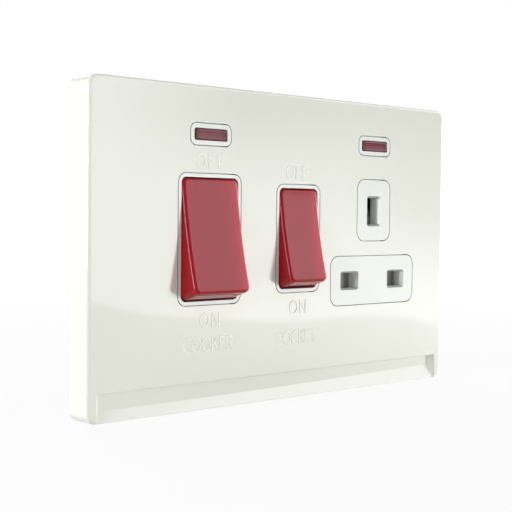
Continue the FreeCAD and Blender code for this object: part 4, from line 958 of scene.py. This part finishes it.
for circuit in NEONS:
    low, high = box_mm(circuit + "_neon_lens")
    half = (high - low)[[0, 2]] / 2 - PANE_MARGIN
    pane = ring_skin(pane_rings(((low + high) / 2)[[0, 2]], half, low[1]))
    new_piece(circuit + "_window_pane", [pane], windows[circuit], "base")

# %% [markdown]
# ## Springs and lamp wires
# The source keeps its coils coarse. Here each spring is round wire on a helix whose end turns lie closed.

# %% Wound wire
DEAD_TURNS = 0.8
STEPS_PER_TURN = 28


def helix(radius, wire, turns, length):
    """Wire centres: a circle per turn that rises by a wire's width on the dead end turns, evenly between."""
    turn = np.linspace(0, turns, int(turns * STEPS_PER_TURN) + 1)
    first, last, dead = wire / 2, length - wire / 2, DEAD_TURNS * wire
    knots = [0, DEAD_TURNS, turns - DEAD_TURNS, turns]
    rise = np.interp(turn, knots, [first, first + dead, last - dead, last])
    angle = 2 * np.pi * turn
    spoke = np.stack([np.cos(angle), np.sin(angle), np.zeros_like(angle)], 1)
    return radius * spoke + rise[:, None] * (0.0, 0.0, 1.0), spoke


def wound(radius, wire, turns, length):
    """Round wire carried along a helix; the ring lies across the spoke and the helix axis."""
    path, spoke = helix(radius, wire, turns, length)
    axis = np.broadcast_to((0.0, 0.0, 1.0), path.shape)
    thick = np.full((len(path), 1), wire / 2)
    return ring_skin(carried_rings(path, spoke, axis, thick, thick, thick))


print("wire helpers ready")

# %% [markdown]
# The plunger springs stand in the rockers' barrels, tilted as the rockers are at rest, and turn with them.
# Each ends at one distance behind the rocker's pivot, so its start follows from its length.

# %% Plunger springs
ROCKER_PIVOT = np.array((0.0, -5.6, 2.5))
ROCKER_TILT = math.radians(11.0)
PLUNGER_SPRING = {"radius": 1.5, "wire": 0.5, "turns": 4.5}
PLUNGER_SPRINGS = (
    ("cooker_line_spring", "cooker_rocker_body", 7.58),
    ("cooker_neutral_spring", "cooker_rocker_body", 7.58),
    ("socket_plunger_spring", "socket_rocker_body", 7.09),
)
SPRING_BACK = 3.45
spring_axis = np.array((0.0, math.cos(ROCKER_TILT), -math.sin(ROCKER_TILT)))
spring_up = np.array((0.0, math.sin(ROCKER_TILT), math.cos(ROCKER_TILT)))
for node, body, length in PLUNGER_SPRINGS:
    points, faces = wound(**PLUNGER_SPRING, length=length)
    start = ROCKER_PIVOT + (middle(node)[0] / MM, 0, 0) + spring_axis * (SPRING_BACK - length)
    points = start + points @ np.array([(1.0, 0.0, 0.0), spring_up, spring_axis])
    name = node.replace("_spring", "_coil")
    piece = new_piece(name, [(points, faces)], spring_steel, body)
    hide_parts(node)

# %% [markdown]
# The shutter's spring stands upright on the carrier, at the place and length of the source's spring.

# %% Shutter spring
SHUTTER_SPRING = {"radius": 0.82, "wire": 0.35, "turns": 8.0}
low, high = box_mm("shutter_spring")
foot = np.array(((low[0] + high[0]) / 2, (low[1] + high[1]) / 2, low[2]))
points, faces = wound(**SHUTTER_SPRING, length=high[2] - low[2])
piece = new_piece("shutter_coil", [(points + foot, faces)], spring_steel, "base")
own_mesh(piece)
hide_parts("shutter_spring")

# %% [markdown]
# Inside each lamp's glass lie two straight electrodes, one above the other.

# %% Lamp electrodes
ELECTRODE_RADIUS, ELECTRODE_GAP = 0.22, 0.9
ELECTRODE_REACH, ELECTRODE_STEPS = 4.2, 15
for circuit in NEONS:
    centre = middle(circuit + "_neon_lamp") / MM
    groups = []
    for side in (-1, 1):
        reach = np.linspace(-ELECTRODE_REACH, ELECTRODE_REACH, ELECTRODE_STEPS)[:, None]
        path = centre + (0, 0, side * ELECTRODE_GAP / 2) + reach * (1.0, 0.0, 0.0)
        thick = np.full((len(path), 1), ELECTRODE_RADIUS)
        y_way = np.broadcast_to((0.0, 1.0, 0.0), path.shape)
        z_way = np.broadcast_to((0.0, 0.0, 1.0), path.shape)
        groups.append(ring_skin(carried_rings(path, y_way, z_way, thick, thick, thick)))
    new_piece(circuit + "_lamp_electrodes", groups, contact_metal, "base")

# %% [markdown]
# ## Housing screws
# Two self-cutting screws hold the housing to the carrier. The shank is a turned profile whose radius also
# follows a helix, which gives the thread; the head is a low dome with a cross pressed into it.

# %% Screw profile
SCREW_POINTS = 64
SCREW_RING = np.linspace(0, 2 * np.pi, SCREW_POINTS, endpoint=False)
CORE, CREST, THREAD_PITCH, THREAD_STEPS, RIDGE_STEEP = 1.10, 1.42, 1.2, 6, 4
TIP_LENGTH, TIP_BLUNT = 2.0, 0.12
HEAD_RADIUS, HEAD_HEIGHT, HEAD_ROUND, HEAD_CROWN = 2.6, 1.6, 0.45, 0.25
ROUND_ROWS, DOME_ROWS, DOME_MIDDLE = 7, 30, 0.02
CROSS_REACH, CROSS_WIDTH, CROSS_DEPTH, CROSS_SLOPE = 1.5, 0.30, 0.75, 0.16


def soft_step(value, edge, slope):
    """0 below the edge and 1 above it, with a smooth rise as wide as slope."""
    t = np.clip((value - edge) / slope + 0.5, 0, 1)
    return t * t * (3 - 2 * t)


def screw_rings(length):
    """Rings from the tip to the middle of the head, along +Z, with the bearing face of the head at Z = 0.

    The shank's radius is the core plus a ridge that climbs one pitch per turn, narrowed towards the tip.
    The dome falls by the crown with the square of the radius, and by the cross inside its two arms.
    """
    z = np.arange(-length, 0.0, THREAD_PITCH / THREAD_STEPS)[:, None]
    turn = (z / THREAD_PITCH - SCREW_RING / (2 * np.pi)) % 1
    ridge = np.clip(1 - np.abs(turn - 0.5) * RIDGE_STEEP, 0, 1)
    taper = np.clip((z + length) / TIP_LENGTH, TIP_BLUNT, 1)
    shank = (CORE + (CREST - CORE) * ridge) * taper
    t = np.linspace(0, np.pi / 2, ROUND_ROWS)[:, None]
    rim = np.concatenate([[[CORE]], [[HEAD_RADIUS]], HEAD_RADIUS - HEAD_ROUND * (1 - np.cos(t))])
    rim_z = np.concatenate([[[0.0]], [[0.0]], HEAD_HEIGHT - HEAD_CROWN - HEAD_ROUND * (1 - np.sin(t))])
    r = np.linspace(HEAD_RADIUS - HEAD_ROUND, DOME_MIDDLE, DOME_ROWS)[1:, None]
    x, y = np.abs(r * np.cos(SCREW_RING)), np.abs(r * np.sin(SCREW_RING))
    arms = 1 - soft_step(np.minimum(x, y), CROSS_WIDTH, CROSS_SLOPE)
    cross = arms * (1 - soft_step(np.maximum(x, y), CROSS_REACH, CROSS_SLOPE))
    dome = HEAD_HEIGHT - HEAD_CROWN * (r / (HEAD_RADIUS - HEAD_ROUND)) ** 2 - CROSS_DEPTH * cross
    rim_shape = (len(rim), SCREW_POINTS)
    radius = np.concatenate([shank, np.broadcast_to(rim, rim_shape), np.broadcast_to(r, x.shape)])
    rise = np.concatenate([np.broadcast_to(z, shank.shape), np.broadcast_to(rim_z, rim_shape), dome])
    return np.stack([radius * np.cos(SCREW_RING), radius * np.sin(SCREW_RING), rise], -1)


print("screw profile ready")

# %% [markdown]
# The two screws take the places of the plain ones: their heads lie in two opposite corners of the box that
# the source's screws fill, and their tips reach its front.

# %% Housing screws
low, high = box_mm("housing_screws")
bearing_y = high[1] - HEAD_HEIGHT
points, faces = ring_skin(screw_rings(bearing_y - low[1]))
upright = np.stack([points[:, 0], points[:, 2] + bearing_y, -points[:, 1]], 1)
places = ((low[0] + HEAD_RADIUS, high[2] - HEAD_RADIUS), (high[0] - HEAD_RADIUS, low[2] + HEAD_RADIUS))
groups = [(upright + (x, 0, z), faces) for x, z in places]
piece = new_piece("housing_cross_screws", groups, screw_steel, "base")
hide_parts("housing_screws")
